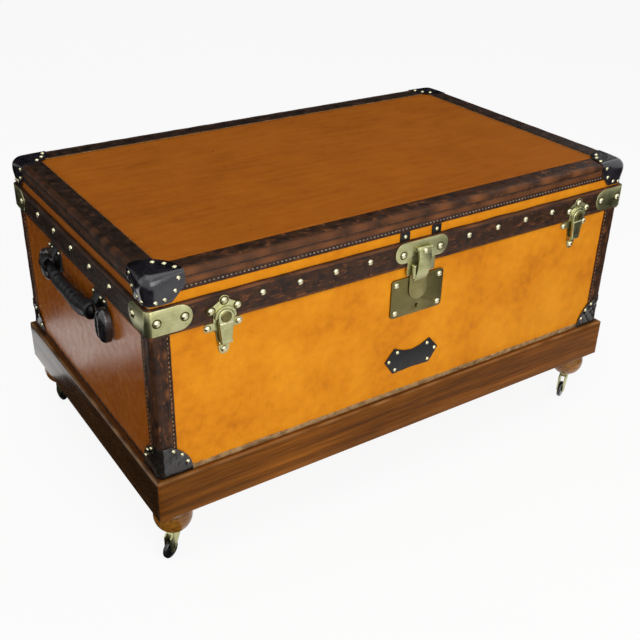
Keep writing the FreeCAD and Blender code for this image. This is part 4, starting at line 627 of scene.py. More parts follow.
def surface(name: str, points: Grid, loop_rows: bool = False, loop_columns: bool = False,
            wall: float = 0.0, wear: Grid | None = None, skip: Grid | None = None,
            smooth_degrees: float = CRISP) -> Item:
    """Make a mesh from a grid of points, facing away from the trunk's middle.

    Formula: each cell of the grid is one face between neighbouring rows and columns.

    Args:
        name: The piece's name.
        points: Rows by columns by three, in metres.
        loop_rows: Join the last row to the first.
        loop_columns: Join the last column to the first.
        wall: Thickness given to an open sheet: positive outwards, negative inwards.
        wear: Rubbed share of each point, from 0 to 1.
        skip: Cells left open.
        smooth_degrees: Edges sharper than this stay crisp.

    Returns:
        The mesh object.
    """
    rows, columns = points.shape[:2]
    index = np.arange(rows * columns).reshape(rows, columns)
    below = np.roll(index, -1, 0)[: rows if loop_rows else rows - 1]
    here = index[: len(below)]
    width = columns if loop_columns else columns - 1
    right = np.roll(index, -1, 1)
    corner = np.roll(below, -1, 1)
    cells = np.stack([here, right[: len(below)], corner, below], -1)[:, :width].reshape(-1, 4)
    if skip is not None:
        cells = cells[~skip[: len(below), :width].reshape(-1)]
    mesh = bpy.data.meshes.new(name)
    mesh.from_pydata(points.reshape(-1, 3).tolist(), [], cells.tolist())
    rubbed = np.zeros(rows * columns) if wear is None else np.broadcast_to(wear, (rows, columns)).ravel()
    layer = mesh.attributes.new("wear", "FLOAT", "POINT")
    layer.data.foreach_set("value", np.ascontiguousarray(rubbed, np.float32))
    return finish_mesh(name, mesh, wall, smooth_degrees)


def finish_mesh(name: str, mesh: bpy.types.Mesh, wall: float, smooth_degrees: float) -> Item:
    """Merge doubles, turn the faces outwards, smooth them and give an open sheet its wall.

    Formula: the sum over faces of area times normal times the way from the trunk's middle is
    positive when the faces point outwards.

    Args:
        name: The piece's name.
        mesh: The raw mesh.
        wall: As for surface().
        smooth_degrees: As for surface().

    Returns:
        The mesh object.
    """
    work = bmesh.new()
    work.from_mesh(mesh)
    bmesh.ops.remove_doubles(work, verts=work.verts, dist=MERGE)
    bmesh.ops.dissolve_degenerate(work, edges=work.edges, dist=THINNEST)
    middle = Vector(TRUNK_MIDDLE)
    facing = sum((face.calc_center_median() - middle).dot(face.normal) * face.calc_area()
                 for face in work.faces)
    if facing < 0:
        bmesh.ops.reverse_faces(work, faces=work.faces)
    for edge in work.edges:
        if len(edge.link_faces) == 2:
            edge.smooth = math.degrees(edge.calc_face_angle(0.0)) < smooth_degrees
    for face in work.faces:
        face.smooth = True
    work.to_mesh(mesh)
    work.free()
    item = bpy.data.objects.new(name, mesh)
    bpy.context.scene.collection.objects.link(item)
    if wall:
        shell = item.modifiers.new("wall", "SOLIDIFY")
        shell.thickness = abs(wall)
        shell.offset = math.copysign(1.0, wall)
    return item


def copy_of(node: Item, name: str, bevel: float) -> Item:
    """A merged copy of a hard CAD piece whose edges are broken by a small bevel.

    Args:
        node: The CAD node.
        name: The new piece's name.
        bevel: The bevel's width in metres.

    Returns:
        The mesh object.
    """
    mesh = node.data.copy()
    mesh.name = name
    mesh.materials.clear()
    work = bmesh.new()
    work.from_mesh(mesh)
    bmesh.ops.remove_doubles(work, verts=work.verts, dist=CAD_MERGE)
    bmesh.ops.dissolve_limit(work, angle_limit=math.radians(FLAT_DEGREES), verts=work.verts,
                             edges=work.edges)
    for face in work.faces:
        face.smooth = True
    work.to_mesh(mesh)
    work.free()
    item = bpy.data.objects.new(name, mesh)
    bpy.context.scene.collection.objects.link(item)
    soft = item.modifiers.new("edge", "BEVEL")
    soft.width = bevel
    soft.segments = BEVEL_SEGMENTS
    soft.limit_method = "ANGLE"
    soft.angle_limit = math.radians(SHARP_DEGREES)
    soft.harden_normals = True
    return item


def scatter(name: str, template: Grid, origins: Grid, us: Grid, vs: Grid,
            outs: Grid) -> Item:
    """Repeat a small closed shape at many places in one mesh.

    Formula: each copy's point is its origin plus the template's three shares along the copy's
    own two side directions and its outward direction.

    Args:
        name: The piece's name.
        template: Rows by columns by three; its columns loop, and its end rows are points.
        origins: Places of the copies, one row each.
        us: First side directions.
        vs: Second side directions.
        outs: Outward directions.

    Returns:
        The mesh object.
    """
    parts = template[None, ..., None] * np.stack([us, vs, outs], 1)[:, None, None]
    points = origins[:, None, None] + parts.sum(-2)
    copies, rows, columns = points.shape[:3]
    index = np.arange(copies * rows * columns).reshape(copies, rows, columns)
    after = np.roll(index, -1, 2)
    cells = np.stack([index[:, :-1], after[:, :-1], after[:, 1:], index[:, 1:]], -1).reshape(-1, 4)
    mesh = bpy.data.meshes.new(name)
    mesh.from_pydata(points.reshape(-1, 3).tolist(), [], cells.tolist())
    mesh.attributes.new("wear", "FLOAT", "POINT")
    return finish_mesh(name, mesh, 0.0, HEAD_SMOOTH)


def dome(rings: int = 4, sectors: int = 14) -> Grid:
    """A nail head of radius one and height one, closed underneath.

    Formula: at angle a up from the rim, the radius falls as cos a and the height grows as sin a.

    Args:
        rings: Rings from the rim to the top.
        sectors: Points round each ring.

    Returns:
        The template grid.
    """
    rise = np.linspace(0, np.pi / 2, rings + 1)
    turn = np.linspace(0, 2 * np.pi, sectors, endpoint=False)
    wide = np.concatenate([[0, 1], np.cos(rise)])
    high = np.concatenate([[-HEAD_SKIRT, -HEAD_SKIRT], np.sin(rise)])
    flat = wide[:, None, None] * np.stack([np.cos(turn), np.sin(turn)], -1)[None]
    return np.concatenate([flat, np.broadcast_to(high[:, None, None], (len(high), sectors, 1))], -1)


def islands(node: Item) -> Grid:
    """Boxes of the separate solids of a CAD node.

    Args:
        node: The CAD node.

    Returns:
        One row per solid: its lowest and highest corner.
    """
    work = bmesh.new()
    work.from_mesh(node.data)
    bmesh.ops.remove_doubles(work, verts=work.verts, dist=CAD_MERGE)
    left = set(work.verts)
    boxes = []
    while left:
        found, waiting = set(), [left.pop()]
        while waiting:
            vertex = waiting.pop()
            found.add(vertex)
            near = {edge.other_vert(vertex) for edge in vertex.link_edges} & left
            left -= near
            waiting += near
        spots = np.array([vertex.co for vertex in found])
        boxes.append([spots.min(0), spots.max(0)])
    work.free()
    return np.array(boxes)


def turned(centre: tuple, axis: tuple, profile: Grid, sectors: int = 48) -> Grid:
    """Turn a profile round an axis.

    Formula: a point is the centre, plus the axis times the profile's height, plus the profile's
    radius times a direction that goes once round the axis.

    Args:
        centre: Where the profile's height is zero.
        axis: The axis.
        profile: Radius and height of each point.
        sectors: Points round the axis.

    Returns:
        The grid, profile by sectors by three.
    """
    along = np.array(axis, float) / np.linalg.norm(axis)
    first = np.cross(along, OFF_AXIS)
    first /= np.linalg.norm(first)
    turn = np.linspace(0, 2 * np.pi, sectors, endpoint=False)[:, None]
    spin = np.cos(turn) * first + np.sin(turn) * np.cross(along, first)
    return np.array(centre) + profile[:, 1, None, None] * along + profile[:, :1, None] * spin[None]


def rounded_loop(half: tuple, radius: float, step: float) -> tuple[Grid, Grid, Grid]:
    """Walk round a rectangle with rounded corners, seen from above, against the clock.

    Formula: four straight sides, each followed by a quarter circle; the outward direction turns
    with the quarter circle.

    Args:
        half: Half length and half depth.
        radius: Corner radius.
        step: Spacing along the straights.

    Returns:
        Points, outward directions and way along the loop.
    """
    points, outs = [], []
    arc = np.linspace(0, np.pi / 2, CORNER_STEPS)[1:-1]
    for side in Side:
        reach = side.along(half) - radius
        away = side.across(half)
        places = np.linspace(-reach, reach, max(2, round(2 * reach / step) + 1))
        ahead = np.array([math.cos(side.turn), math.sin(side.turn)])
        out = np.array([math.sin(side.turn), -math.cos(side.turn)])
        points.append(places[:, None] * ahead + away * out)
        outs.append(np.tile(out, (len(places), 1)))
        spin = np.cos(arc)[:, None] * out + np.sin(arc)[:, None] * ahead
        points.append(reach * ahead + (away - radius) * out + radius * spin)
        outs.append(spin)
    points = np.concatenate(points)
    way = np.concatenate([[0], np.cumsum(np.linalg.norm(np.diff(points, axis=0), axis=1))])
    return points, np.concatenate(outs), way


def ring(points: Grid, outs: Grid, offsets: Grid, heights: Grid) -> Grid:
    """Carry a profile round a loop.

    Formula: a point is the loop's point, plus the outward direction times the profile's offset,
    at the profile's height.

    Args:
        points: The loop's points.
        outs: The loop's outward directions.
        offsets: Profile offsets, by profile or by profile and loop.
        heights: Profile heights, likewise.

    Returns:
        The grid, profile by loop by three.
    """
    shape = (len(offsets), len(points))
    offsets = np.broadcast_to(offsets if offsets.ndim == 2 else offsets[:, None], shape)
    heights = np.broadcast_to(heights if heights.ndim == 2 else heights[:, None], shape)
    flat = points[None] + outs[None] * offsets[..., None]
    return np.concatenate([flat, heights[..., None]], -1)


def on_side(side: Side, us: Grid, levels: Grid, heights: Grid, face: tuple) -> Grid:
    """Place a sheet on one upright side of the trunk.

    Formula: u runs to the right seen from outside, level outwards from the face, height up.

    Args:
        side: The side.
        us: Places along the side.
        levels: Places outwards from the face.
        heights: Places up.
        face: Half length and half depth of the box whose faces the levels start from.

    Returns:
        The points, with a last axis of three.
    """
    us, levels, heights = np.broadcast_arrays(us, levels, heights)
    away = side.across(face) + levels
    x = us * math.cos(side.turn) + away * math.sin(side.turn)
    y = us * math.sin(side.turn) - away * math.cos(side.turn)
    return np.stack([x, y, heights], -1)


def bent_profile(corners: list[tuple], radius_steps: int = 5) -> Grid:
    """A polyline whose corners are rounded.

    Formula: each corner with a radius becomes a curve from a point before it to one after it,
    blended as (1-k)^2 a + 2k(1-k) corner + k^2 b.

    Args:
        corners: First coordinate, second coordinate and rounding of each corner, in millimetres.
        radius_steps: Points on each rounding.

    Returns:
        Points by two, in metres.
    """
    spots = np.array([corner[:2] for corner in corners], float)
    made = [spots[:1]]
    share = np.linspace(0, 1, radius_steps)[:, None]
    for place in range(1, len(corners) - 1):
        radius = corners[place][2]
        before = spots[place - 1] - spots[place]
        after = spots[place + 1] - spots[place]
        if not radius:
            made.append(spots[place:place + 1])
            continue
        start = spots[place] + before / np.linalg.norm(before) * radius
        end = spots[place] + after / np.linalg.norm(after) * radius
        made.append((1 - share) ** 2 * start + 2 * share * (1 - share) * spots[place] + share ** 2 * end)
    made.append(spots[-1:])
    return np.concatenate(made) * MM


def mitred(side: Side, insets: Grid, heights: Grid, half: tuple, count: int,
           corner: float = 0.0, gap: float = 0.0) -> Grid:
    """Carry a profile along one side and cut it at 45 degrees at both ends.

    Formula: a point at inset b runs from -(H - b) to H - b, where H is the side's half length.
    Near a rounded corner, a point outside the corner's circle is drawn onto the circle.

    Args:
        side: The side.
        insets: Ways inwards from the outer face.
        heights: Heights of the profile's points.
        half: Half length and half depth of the outer faces.
        count: Places along the side.
        corner: Radius of the upright corners.
        gap: How far each end stops short of the mitre.

    Returns:
        The grid, profile by places by three.
    """
    reach = side.along(half)
    near = np.linspace(0, 1, 5) * 1.5 * corner / reach
    shares = np.unique(np.concatenate([np.linspace(-1, 1, count), near - 1, 1 - near]))
    us = shares[None] * (reach - insets[:, None] - gap)
    inset = np.broadcast_to(insets[:, None], us.shape)
    if corner:
        over_u = corner - (reach - np.abs(us))
        over_b = corner - inset
        away = np.hypot(over_u, over_b)
        outside = (over_u > 0) & (over_b > 0) & (away > corner)
        pull = np.where(outside, corner / np.maximum(away, corner), 1.0)
        us = np.sign(us) * (reach - corner + over_u * pull)
        inset = corner - over_b * pull
    return on_side(side, us, -inset, heights[:, None], half)


def capped(points: Grid) -> Grid:
    """Close both ends of a run: one more column at each, in the middle of that end's section."""
    ends = [np.broadcast_to(points[:, place].mean(0), points[:, place].shape)[:, None]
            for place in (0, -1)]
    return np.concatenate([ends[0], points, ends[1]], 1)


def dimpled(grid: Grid, seed: int, size: float, depth: float) -> Grid:
    """Soft lumps over a surface, from -depth to depth.

    Formula: the sum of two wandering lines, one along each of two slanted directions.

    Args:
        grid: Points.
        seed: Picks the lumps.
        size: Size of the smallest lumps.
        depth: Their depth.

    Returns:
        One number per point.
    """
    one = wander(seed, grid @ np.array(SLANT_ONE), size)
    two = wander(seed + SLANT_SEED, grid @ np.array(SLANT_TWO), size)
    return depth * np.clip(one * SLANT_SHARE + two * SLANT_SHARE, -1, 1)


@dataclass
class Bench:
    """The CAD nodes, their bodies, the joints and the finishes, handed to every sub-assembly."""

    nodes: dict[str, Item]
    bodies: dict[str, str]
    joints: dict[str, dict]
    finishes: dict[str, bpy.types.Material]

    def put(self, item: Item, body: str, slot: str, *replaced: str, finish: str = "") -> Item:
        """Dress a piece, let it ride on its body, and hide the CAD nodes it stands for.

        Args:
            item: The piece.
            body: The body it moves with.
            slot: The record's material slot.
            replaced: CAD nodes that aren't shown any more.
            finish: A finish other than the slot's own.

        Returns:
            The piece.
        """
        item.data.materials.clear()
        item.data.materials.append(self.finishes[finish or slot])
        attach(item, body)
        if replaced:
            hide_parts(*replaced)
        LOG.info("%s: %d points on %s", item.name, len(item.data.vertices), body)
        return item

    def copy(self, node: str, slot: str, bevel_mm: float = 0.4, finish: str = "") -> Item:
        """Put a merged copy with broken edges in the place of a hard CAD node."""
        item = copy_of(self.nodes[node], node + "_made", bevel_mm * MM)
        return self.put(item, self.bodies[node], slot, node, finish=finish)

    def show(self, slot: str, *names: str) -> None:
        """Give the CAD nodes that stay in view their finish.

        Args:
            slot: The record's material slot.
            names: The CAD nodes.
        """
        for name in names:
            for place in self.nodes[name].material_slots:
                place.material = self.finishes[slot]
            LOG.info("%s: CAD node in %s", name, slot)

    def second(self, item: Item, finish: str, chosen: Callable[[Grid], Grid]) -> None:
        """Give some of a piece's faces another finish.

        Args:
            item: The piece.
            finish: The other finish.
            chosen: Tells from the faces' middles which ones get it.
        """
        item.data.materials.append(self.finishes[finish])
        middles = np.zeros(3 * len(item.data.polygons))
        item.data.polygons.foreach_get("center", middles)
        picked = chosen(middles.reshape(-1, 3)).astype(np.int32)
        item.data.polygons.foreach_set("material_index", picked)


class Assembly:
    """A sub-assembly of the trunk, or of the studio round it."""

    def build(self, bench: Bench) -> None:
        """Make the pieces, dress them and put them on their bodies.

        Args:
            bench: The CAD nodes, their bodies, the joints and the finishes.
        """


@dataclass
class Stand(Assembly):
    """The low stand: four mitred rails with a shallow rebate, corner blocks and ball feet."""

    half: tuple = (459.5 * MM, 278.0 * MM)
    width_mm: float = 32.0
    bottom_mm: float = 99.98
    top_mm: float = 169.98
    ledge_mm: float = 168.48
    lip_mm: float = 7.4
    plain_mm: float = 20.0
    inner_round_mm: float = 1.0
    bottom_round_mm: float = 2.5
    top_round_mm: float = 5.0
    lip_round_mm: float = 0.3
    columns: int = 90
    corner: float = 5.0 * MM
    mitre_gap: float = 0.1 * MM
    ledge_reach: float = 0.5 * MM
    top_rub: tuple = (1.6 * MM, 2.4 * MM)
    top_rub_shares: tuple = (0.45, 0.4)
    top_rub_wave: float = 30.0 * MM
    top_rub_depth: float = 0.35 * MM
    bottom_rub: tuple = (0.8 * MM, 2.0 * MM)
    bottom_rub_share: float = 0.35
    foot_place: tuple = (423.0 * MM, 241.5 * MM)
    foot_radius: float = 30.0 * MM
    foot_middle: float = 77.69 * MM
    foot_top: float = 99.98 * MM
    foot_bottom: float = 50.5 * MM
    line_height: float = 9.0 * MM
    line_reach: float = 0.7 * MM
    line_depth: float = 0.35 * MM
    bare_from: float = 12.0 * MM
    bare_fade: float = 7.0 * MM

    def build(self, bench: Bench) -> None:
        """Make the rails and the feet, and dress the blocks."""
        for side in Side:
            node = "stand_rail_" + side.tag
            # The short rails take the darker finish: painted shade.
            finish = "" if side.long else "varnished_beech_short_rails_painted_shade"
            rail = bench.put(self.rail(side), "stand", "stand_wood", node, finish=finish)
            # The ledge gets the lighter, redder finish: painted reflection of the canvas.
            bench.second(rail, "varnished_beech_ledge_painted_reflection",
                         lambda middles: np.abs(middles[:, 2] - self.ledge_mm * MM) < self.ledge_reach)
        bench.show("block_wood", "stand_corner_blocks")
        for tag, signs in CORNERS.items():
            bench.put(self.foot(tag, signs), "stand", "foot_wood", "bun_foot_" + tag)

    def rail(self, side: Side) -> Item:
        """One rail: the section runs round the rail, with its edges rounded, rubbed along the top.

        Formula: the section's inset and height at each point, carried along the side and mitred;
        the top edge sinks by a wear that wanders along the rail.

        Args:
            side: The rail's side.

        Returns:
            The rail.
        """
        width, low, high, ledge = self.width_mm, self.bottom_mm, self.top_mm, self.ledge_mm
        inner, middle = self.inner_round_mm, (low + high) / 2
        section = bent_profile([
            (width, middle, 0), (width, low, inner), (0, low, self.bottom_round_mm),
            (0, low + self.plain_mm, 0), (0, high - self.plain_mm, 0), (0, high, self.top_round_mm),
            (self.lip_mm, high, self.lip_round_mm), (self.lip_mm, ledge, self.lip_round_mm),
            (width, ledge, inner), (width, middle + inner, 0)])
        inset, height = section.T
        grid = mitred(side, inset, height, self.half, self.columns, self.corner, self.mitre_gap)
        mean, swing = self.top_rub_shares
        rubbed = hill(np.hypot(inset - self.top_rub[0], height - high * MM), 0.0, self.top_rub[1])
        rubbed = rubbed[:, None] * (mean + swing * wander(side.value, side.run(grid), self.top_rub_wave))
        grid[..., 2] -= self.top_rub_depth * np.clip(rubbed, 0, 1)
        low_rub = hill(np.hypot(inset - self.bottom_rub[0], height - low * MM), 0.0, self.bottom_rub[1])
        wear = np.clip(rubbed + self.bottom_rub_share * low_rub[:, None], 0, 1)
        return surface(f"stand_rail_{side.tag}_made", capped(grid), loop_rows=True, wear=padded(wear),
                       smooth_degrees=30)

    def foot(self, tag: str, signs: tuple) -> Item:
        """A turned ball, cut flat above and below, rubbed bare in patches near the top.

        Formula: at height h from the ball's middle, the radius is the root of R squared less h
        squared, with two shallow turning lines.

        Args:
            tag: The corner's tag.
            signs: Its signs along X and Y.

        Returns:
            The foot.
        """
        rise = np.linspace(self.foot_bottom - self.foot_middle, self.foot_top - self.foot_middle, 40)
        radius = np.sqrt(self.foot_radius ** 2 - rise ** 2)
        lines = sum(hill(rise, sign * self.line_height, self.line_reach) for sign in (1, -1))
        profile = np.column_stack([radius - self.line_depth * lines, rise])
        profile = np.concatenate([[[0, rise[0]]], profile, [[0, rise[-1]]]])
        centre = (signs[0] * self.foot_place[0], signs[1] * self.foot_place[1], self.foot_middle)
        grid = turned(centre, (0, 0, 1), profile, 56)
        patch = np.clip((profile[:, 1] - self.bare_from) / self.bare_fade, 0, 1)[:, None]
        ragged = 0.55 + 0.5 * dimpled(grid, 11, 20 * MM, 1.0)
        return surface("foot_" + tag, grid, loop_columns=True, wear=np.clip(patch * ragged, 0, 0.85))


@dataclass
class Casters(Assembly):
    """Four brass swivelling casters with black wheels."""

    wheel_radius: float = 15.5 * MM
    wheel_half_width: float = 4.0 * MM
    section_shares: tuple = ((0.16, 1.0), (0.3, 1.0), (0.36, 0.72), (0.62, 0.66), (0.78, 0.82),
                             (0.9, 0.84), (0.965, 0.66), (0.99, 0.35), (1.0, 0.0))

    def build(self, bench: Bench) -> None:
        """Bevel the brass pieces and turn the wheels."""
        bench.copy("caster_sockets", "brass", 0.5)
        for tag in CORNERS:
            bench.copy("caster_fork_" + tag, "brass", 0.5)
            bench.copy("caster_axle_" + tag, "steel", 0.3)
            joint = bench.joints["roll_" + tag]
            wheel = self.wheel("wheel_tyre_" + tag, joint["pos_m"], joint["axis"])
            bench.put(wheel, "wheel_" + tag, "wheel_black", "caster_wheel_" + tag)

    def wheel(self, name: str, centre: list[float], axis: list[float]) -> Item:
        """A wheel with a crowned tread, a dished side and a hub.

        Formula: shares of the radius and of the half width along one side of the section, which
        is mirrored and turned once round the axle.

        Args:
            name: The piece's name.
            centre: The wheel's middle.
            axis: The axle's direction.

        Returns:
            The wheel.
        """
        near = np.array(self.section_shares)
        sizes = (self.wheel_radius, self.wheel_half_width)
        section = np.concatenate([near, near[-2::-1] * (1, -1)]) * sizes
        return surface(name, turned(tuple(centre), tuple(axis), section), loop_rows=True,
                       loop_columns=True, smooth_degrees=SOFT)


@dataclass
class Carcass(Assembly):
    """What is inside: boards, linings, the lip that enters the lid, the lock case and its bolt."""

    boards: tuple = ("body_walls", "body_bottom_board", "body_rim_lip", "lid_walls", "lid_top_board")
    linings: tuple = ("body_lining", "lid_lining")

    def build(self, bench: Bench) -> None:
        """Dress the CAD nodes inside and bevel the ironwork."""
        bench.show("carcass_board", *self.boards)
        bench.show("lining", *self.linings)
        bench.copy("lock_case", "steel", 0.4)
        bench.copy("lock_bolt", "brass", 0.3)
        bench.show("steel", "pivot_pins", "hasp_pin")
        bench.copy("body_hinge_leaves", "brass", 0.3)
        bench.copy("lid_hinge_leaves", "brass", 0.3)


@dataclass
class Canvas(Assembly):
    """The varnished canvas: one sheet round the body, one round the lid and one on top."""

    half: tuple = (448.5 * MM, 267.0 * MM)
    fold: float = 8.0 * MM
    loop_step: float = 20.0 * MM
    bottom: float = 168.9 * MM
    parting: float = 401.2 * MM
    lid_bottom: float = 401.65 * MM
    lid_top: float = 477.0 * MM
    panel_half: tuple = (416.5 * MM, 235.0 * MM)
    panel_level: float = 487.62 * MM
    panel_columns: tuple = (70, 44)
    panel_fade: float = 60.0 * MM
    thick: float = 0.9 * MM
    slack: float = 0.28 * MM
    skirt_lump: float = 50.0 * MM
    panel_lump: float = 60.0 * MM
    polished_reach: float = 1.0 * MM
    lock_half: tuple = (30.0 * MM, 26.0 * MM)
    lock_middle: float = 349.0 * MM

    def build(self, bench: Bench) -> None:
        """Make the three sheets, with the body's short sides polished."""
        body = self.skirt("body_canvas_sheet", self.bottom, self.parting, 26, 3)
        bench.put(body, "trunk_body", "canvas", "body_canvas")
        bench.second(body, "varnished_canvas_polished_ends", beyond(self.half[0] - self.polished_reach))
        lid = self.skirt("lid_canvas_sheet", self.lid_bottom, self.lid_top, 12, 4)
        bench.put(lid, "lid", "canvas_lid", "lid_canvas")
        bench.put(self.panel(), "lid", "canvas_lid")

    def skirt(self, name: str, low: float, high: float, rows: int, seed: int) -> Item:
        """A sheet glued round four sides, left open behind the lock.

        Formula: a rounded rectangle at every height, moved in and out by soft lumps.

        Args:
            name: The piece's name.
            low: The lower edge's height.
            high: The upper edge's height.
            rows: Points from edge to edge.
            seed: Picks the lumps.

        Returns:
            The sheet.
        """
        loop, outs, _ = rounded_loop(self.half, self.fold, self.loop_step)
        grid = ring(loop, outs, np.zeros(rows), np.linspace(low, high, rows))
        grid[..., :2] += outs[None] * dimpled(grid, seed, self.skirt_lump, self.slack)[..., None]
        x, y, z = np.moveaxis((grid[:-1] + grid[1:]) / 2, -1, 0)
        behind_lock = (np.abs(x) < self.lock_half[0]) & (y < 0)
        behind_lock &= np.abs(z - self.lock_middle) < self.lock_half[1]
        return surface(name, grid, loop_columns=True, wall=-self.thick, skip=behind_lock)

    def panel(self) -> Item:
        """The canvas on top: flat, with soft lumps that fade towards its edge.

        Formula: the level, plus lumps times how far the point is from the edge, up to the fade.

        Returns:
            The sheet.
        """
        axes = [np.linspace(-half, half, count) for half, count in zip(self.panel_half, self.panel_columns)]
        x, y = np.meshgrid(*axes, indexing="ij")
        rim = np.minimum(self.panel_half[0] - np.abs(x), self.panel_half[1] - np.abs(y))
        grid = np.stack([x, y, np.full(x.shape, self.panel_level)], -1)
        grid[..., 2] += dimpled(grid, 5, self.panel_lump, self.slack) * np.clip(rim / self.panel_fade, 0, 1)
        return surface("lid_panel_sheet", grid, wall=-self.thick)


@dataclass
class CornerPath:
    """The way round an upright corner: along one face, round the fold and along the other.

    Formula: each column has its ways in from the two faces, and the direction that leads inwards
    from it; the second of each is the first one read backwards.
    """

    half: tuple
    signs: tuple
    reach: float
    fold: float
    straights: int
    steps: int

    def __post_init__(self) -> None:
        """Work out the columns."""
        still = np.zeros(self.straights)
        angle = np.linspace(0, np.pi / 2, self.steps)[1:-1]
        straight = np.linspace(self.fold, self.reach, self.straights)
        way = np.concatenate([still, self.fold * (1 - np.cos(angle)), straight])
        lead = np.concatenate([still + 1, np.cos(angle), still])
        self.ways, self.leads = np.stack([way, way[::-1]]), np.stack([lead, lead[::-1]])

    def place(self, insets: Grid, heights: Grid) -> Grid:
        """The points at given ways inwards from the faces, and at given heights."""
        x, y = (sign * (half - (way[None] + lead[None] * insets))
                for sign, half, way, lead in zip(self.signs, self.half, self.ways, self.leads))
        return np.stack([x, y, np.broadcast_to(heights, x.shape)], -1)


@dataclass
class CornerStrips(Assembly):
    """Leather folded round the body's upright corners, and its stitches."""

    half: tuple = (448.5 * MM, 267.0 * MM)
    fold: float = 5.0 * MM
    thick: float = 1.5 * MM
    wall: float = 0.8 * MM
    reach: float = 30.0 * MM
    bottom: float = 210.0 * MM
    top: float = 401.28 * MM
    edge_round: float = 1.2 * MM
    rib_at: float = 20.5 * MM
    # Each rib's height, place from the fold and reach; the last one is a groove.
    ribs: tuple = ((0.55, 20.5, 1.3), (0.3, 9.0, 2.2), (-0.45, 25.5, 1.1))
    lump: float = 0.15 * MM
    rub_reach: float = 3.0 * MM
    stitch_at: float = 25.5 * MM
    stitch_level: float = 1.15 * MM
    stitch_pitch: float = 7.4 * MM
    stitch_ends: tuple = (8.0 * MM, 3.0 * MM)
    stitch_size: tuple = (1.8 * MM, 0.9 * MM, 0.6 * MM)

    def build(self, bench: Bench) -> None:
        """Make the four strips and their stitches."""
        for tag, signs in CORNERS.items():
            bench.put(self.strip(tag, signs), "trunk_body", "edge_leather", "body_corner_trims",
                      finish="sewn_bridle_leather_upright")
        bench.put(self.stitches(), "trunk_body", "worn_binding")

    def strip(self, tag: str, signs: tuple) -> Item:
        """A strip folded round one upright corner, ribbed beside its stitches.

        Formula: the level is the thickness, rounded off at both edges, plus the ribs and less the
        groove that the stitches lie in.

        Args:
            tag: The corner's tag.
            signs: Its signs along X and Y.

        Returns:
            The strip.
        """
        half = (self.half[0] + self.thick, self.half[1] + self.thick)
        path = CornerPath(half, signs, self.reach, self.fold + self.thick, 26, 9)
        way = path.ways.max(0)
        edge = np.clip((self.reach - way) / self.edge_round, 0, 1)
        ribs = sum(height * MM * hill(way, at * MM, reach * MM) for height, at, reach in self.ribs)
        heights = np.linspace(self.bottom, self.top, 60)[:, None]
        seed = signs[0] + 2 * signs[1]
        sink = self.thick * (1 - np.sqrt(1 - (1 - edge) ** 2)) - ribs
        sink = sink[None] - wander(20 + seed, heights, 18 * MM) * self.lump
        rubbed = wander(30 + seed, heights, 20 * MM) * hill(way, self.rib_at, self.rub_reach)[None]
        wear = np.clip(0.5 * rubbed + 0.55 * (1 - edge)[None], 0, 0.8)
        return surface("corner_strip_" + tag, path.place(sink, heights), wall=-self.wall, wear=wear)

    def stitches(self) -> Item:
        """Waxed thread beside both edges of every corner strip, one small bead per stitch.

        Returns:
            All the stitches.
        """
        low, high = self.bottom + self.stitch_ends[0], self.top - self.stitch_ends[1]
        heights = np.arange(low, high, self.stitch_pitch)
        in_x, in_y = (half + self.thick - self.stitch_at for half in self.half)
        on_x, on_y = (half + self.stitch_level for half in self.half)
        places, outs = [], []
        for sx, sy in CORNERS.values():
            for spot, out in (((sx * in_x, sy * on_y), (0, sy, 0)), ((sx * on_x, sy * in_y), (sx, 0, 0))):
                places.append(np.column_stack([np.tile(spot, (len(heights), 1)), heights]))
                outs.append(np.tile(out, (len(heights), 1)))
        places, outs = np.concatenate(places), np.concatenate(outs).astype(float)
        ups = np.tile((0.0, 0.0, 1.0), (len(places), 1))
        long, wide, proud = self.stitch_size
        return scatter("corner_stitches", dome(2, 6), places, ups * long, np.cross(ups, outs) * wide,
                       outs * proud)


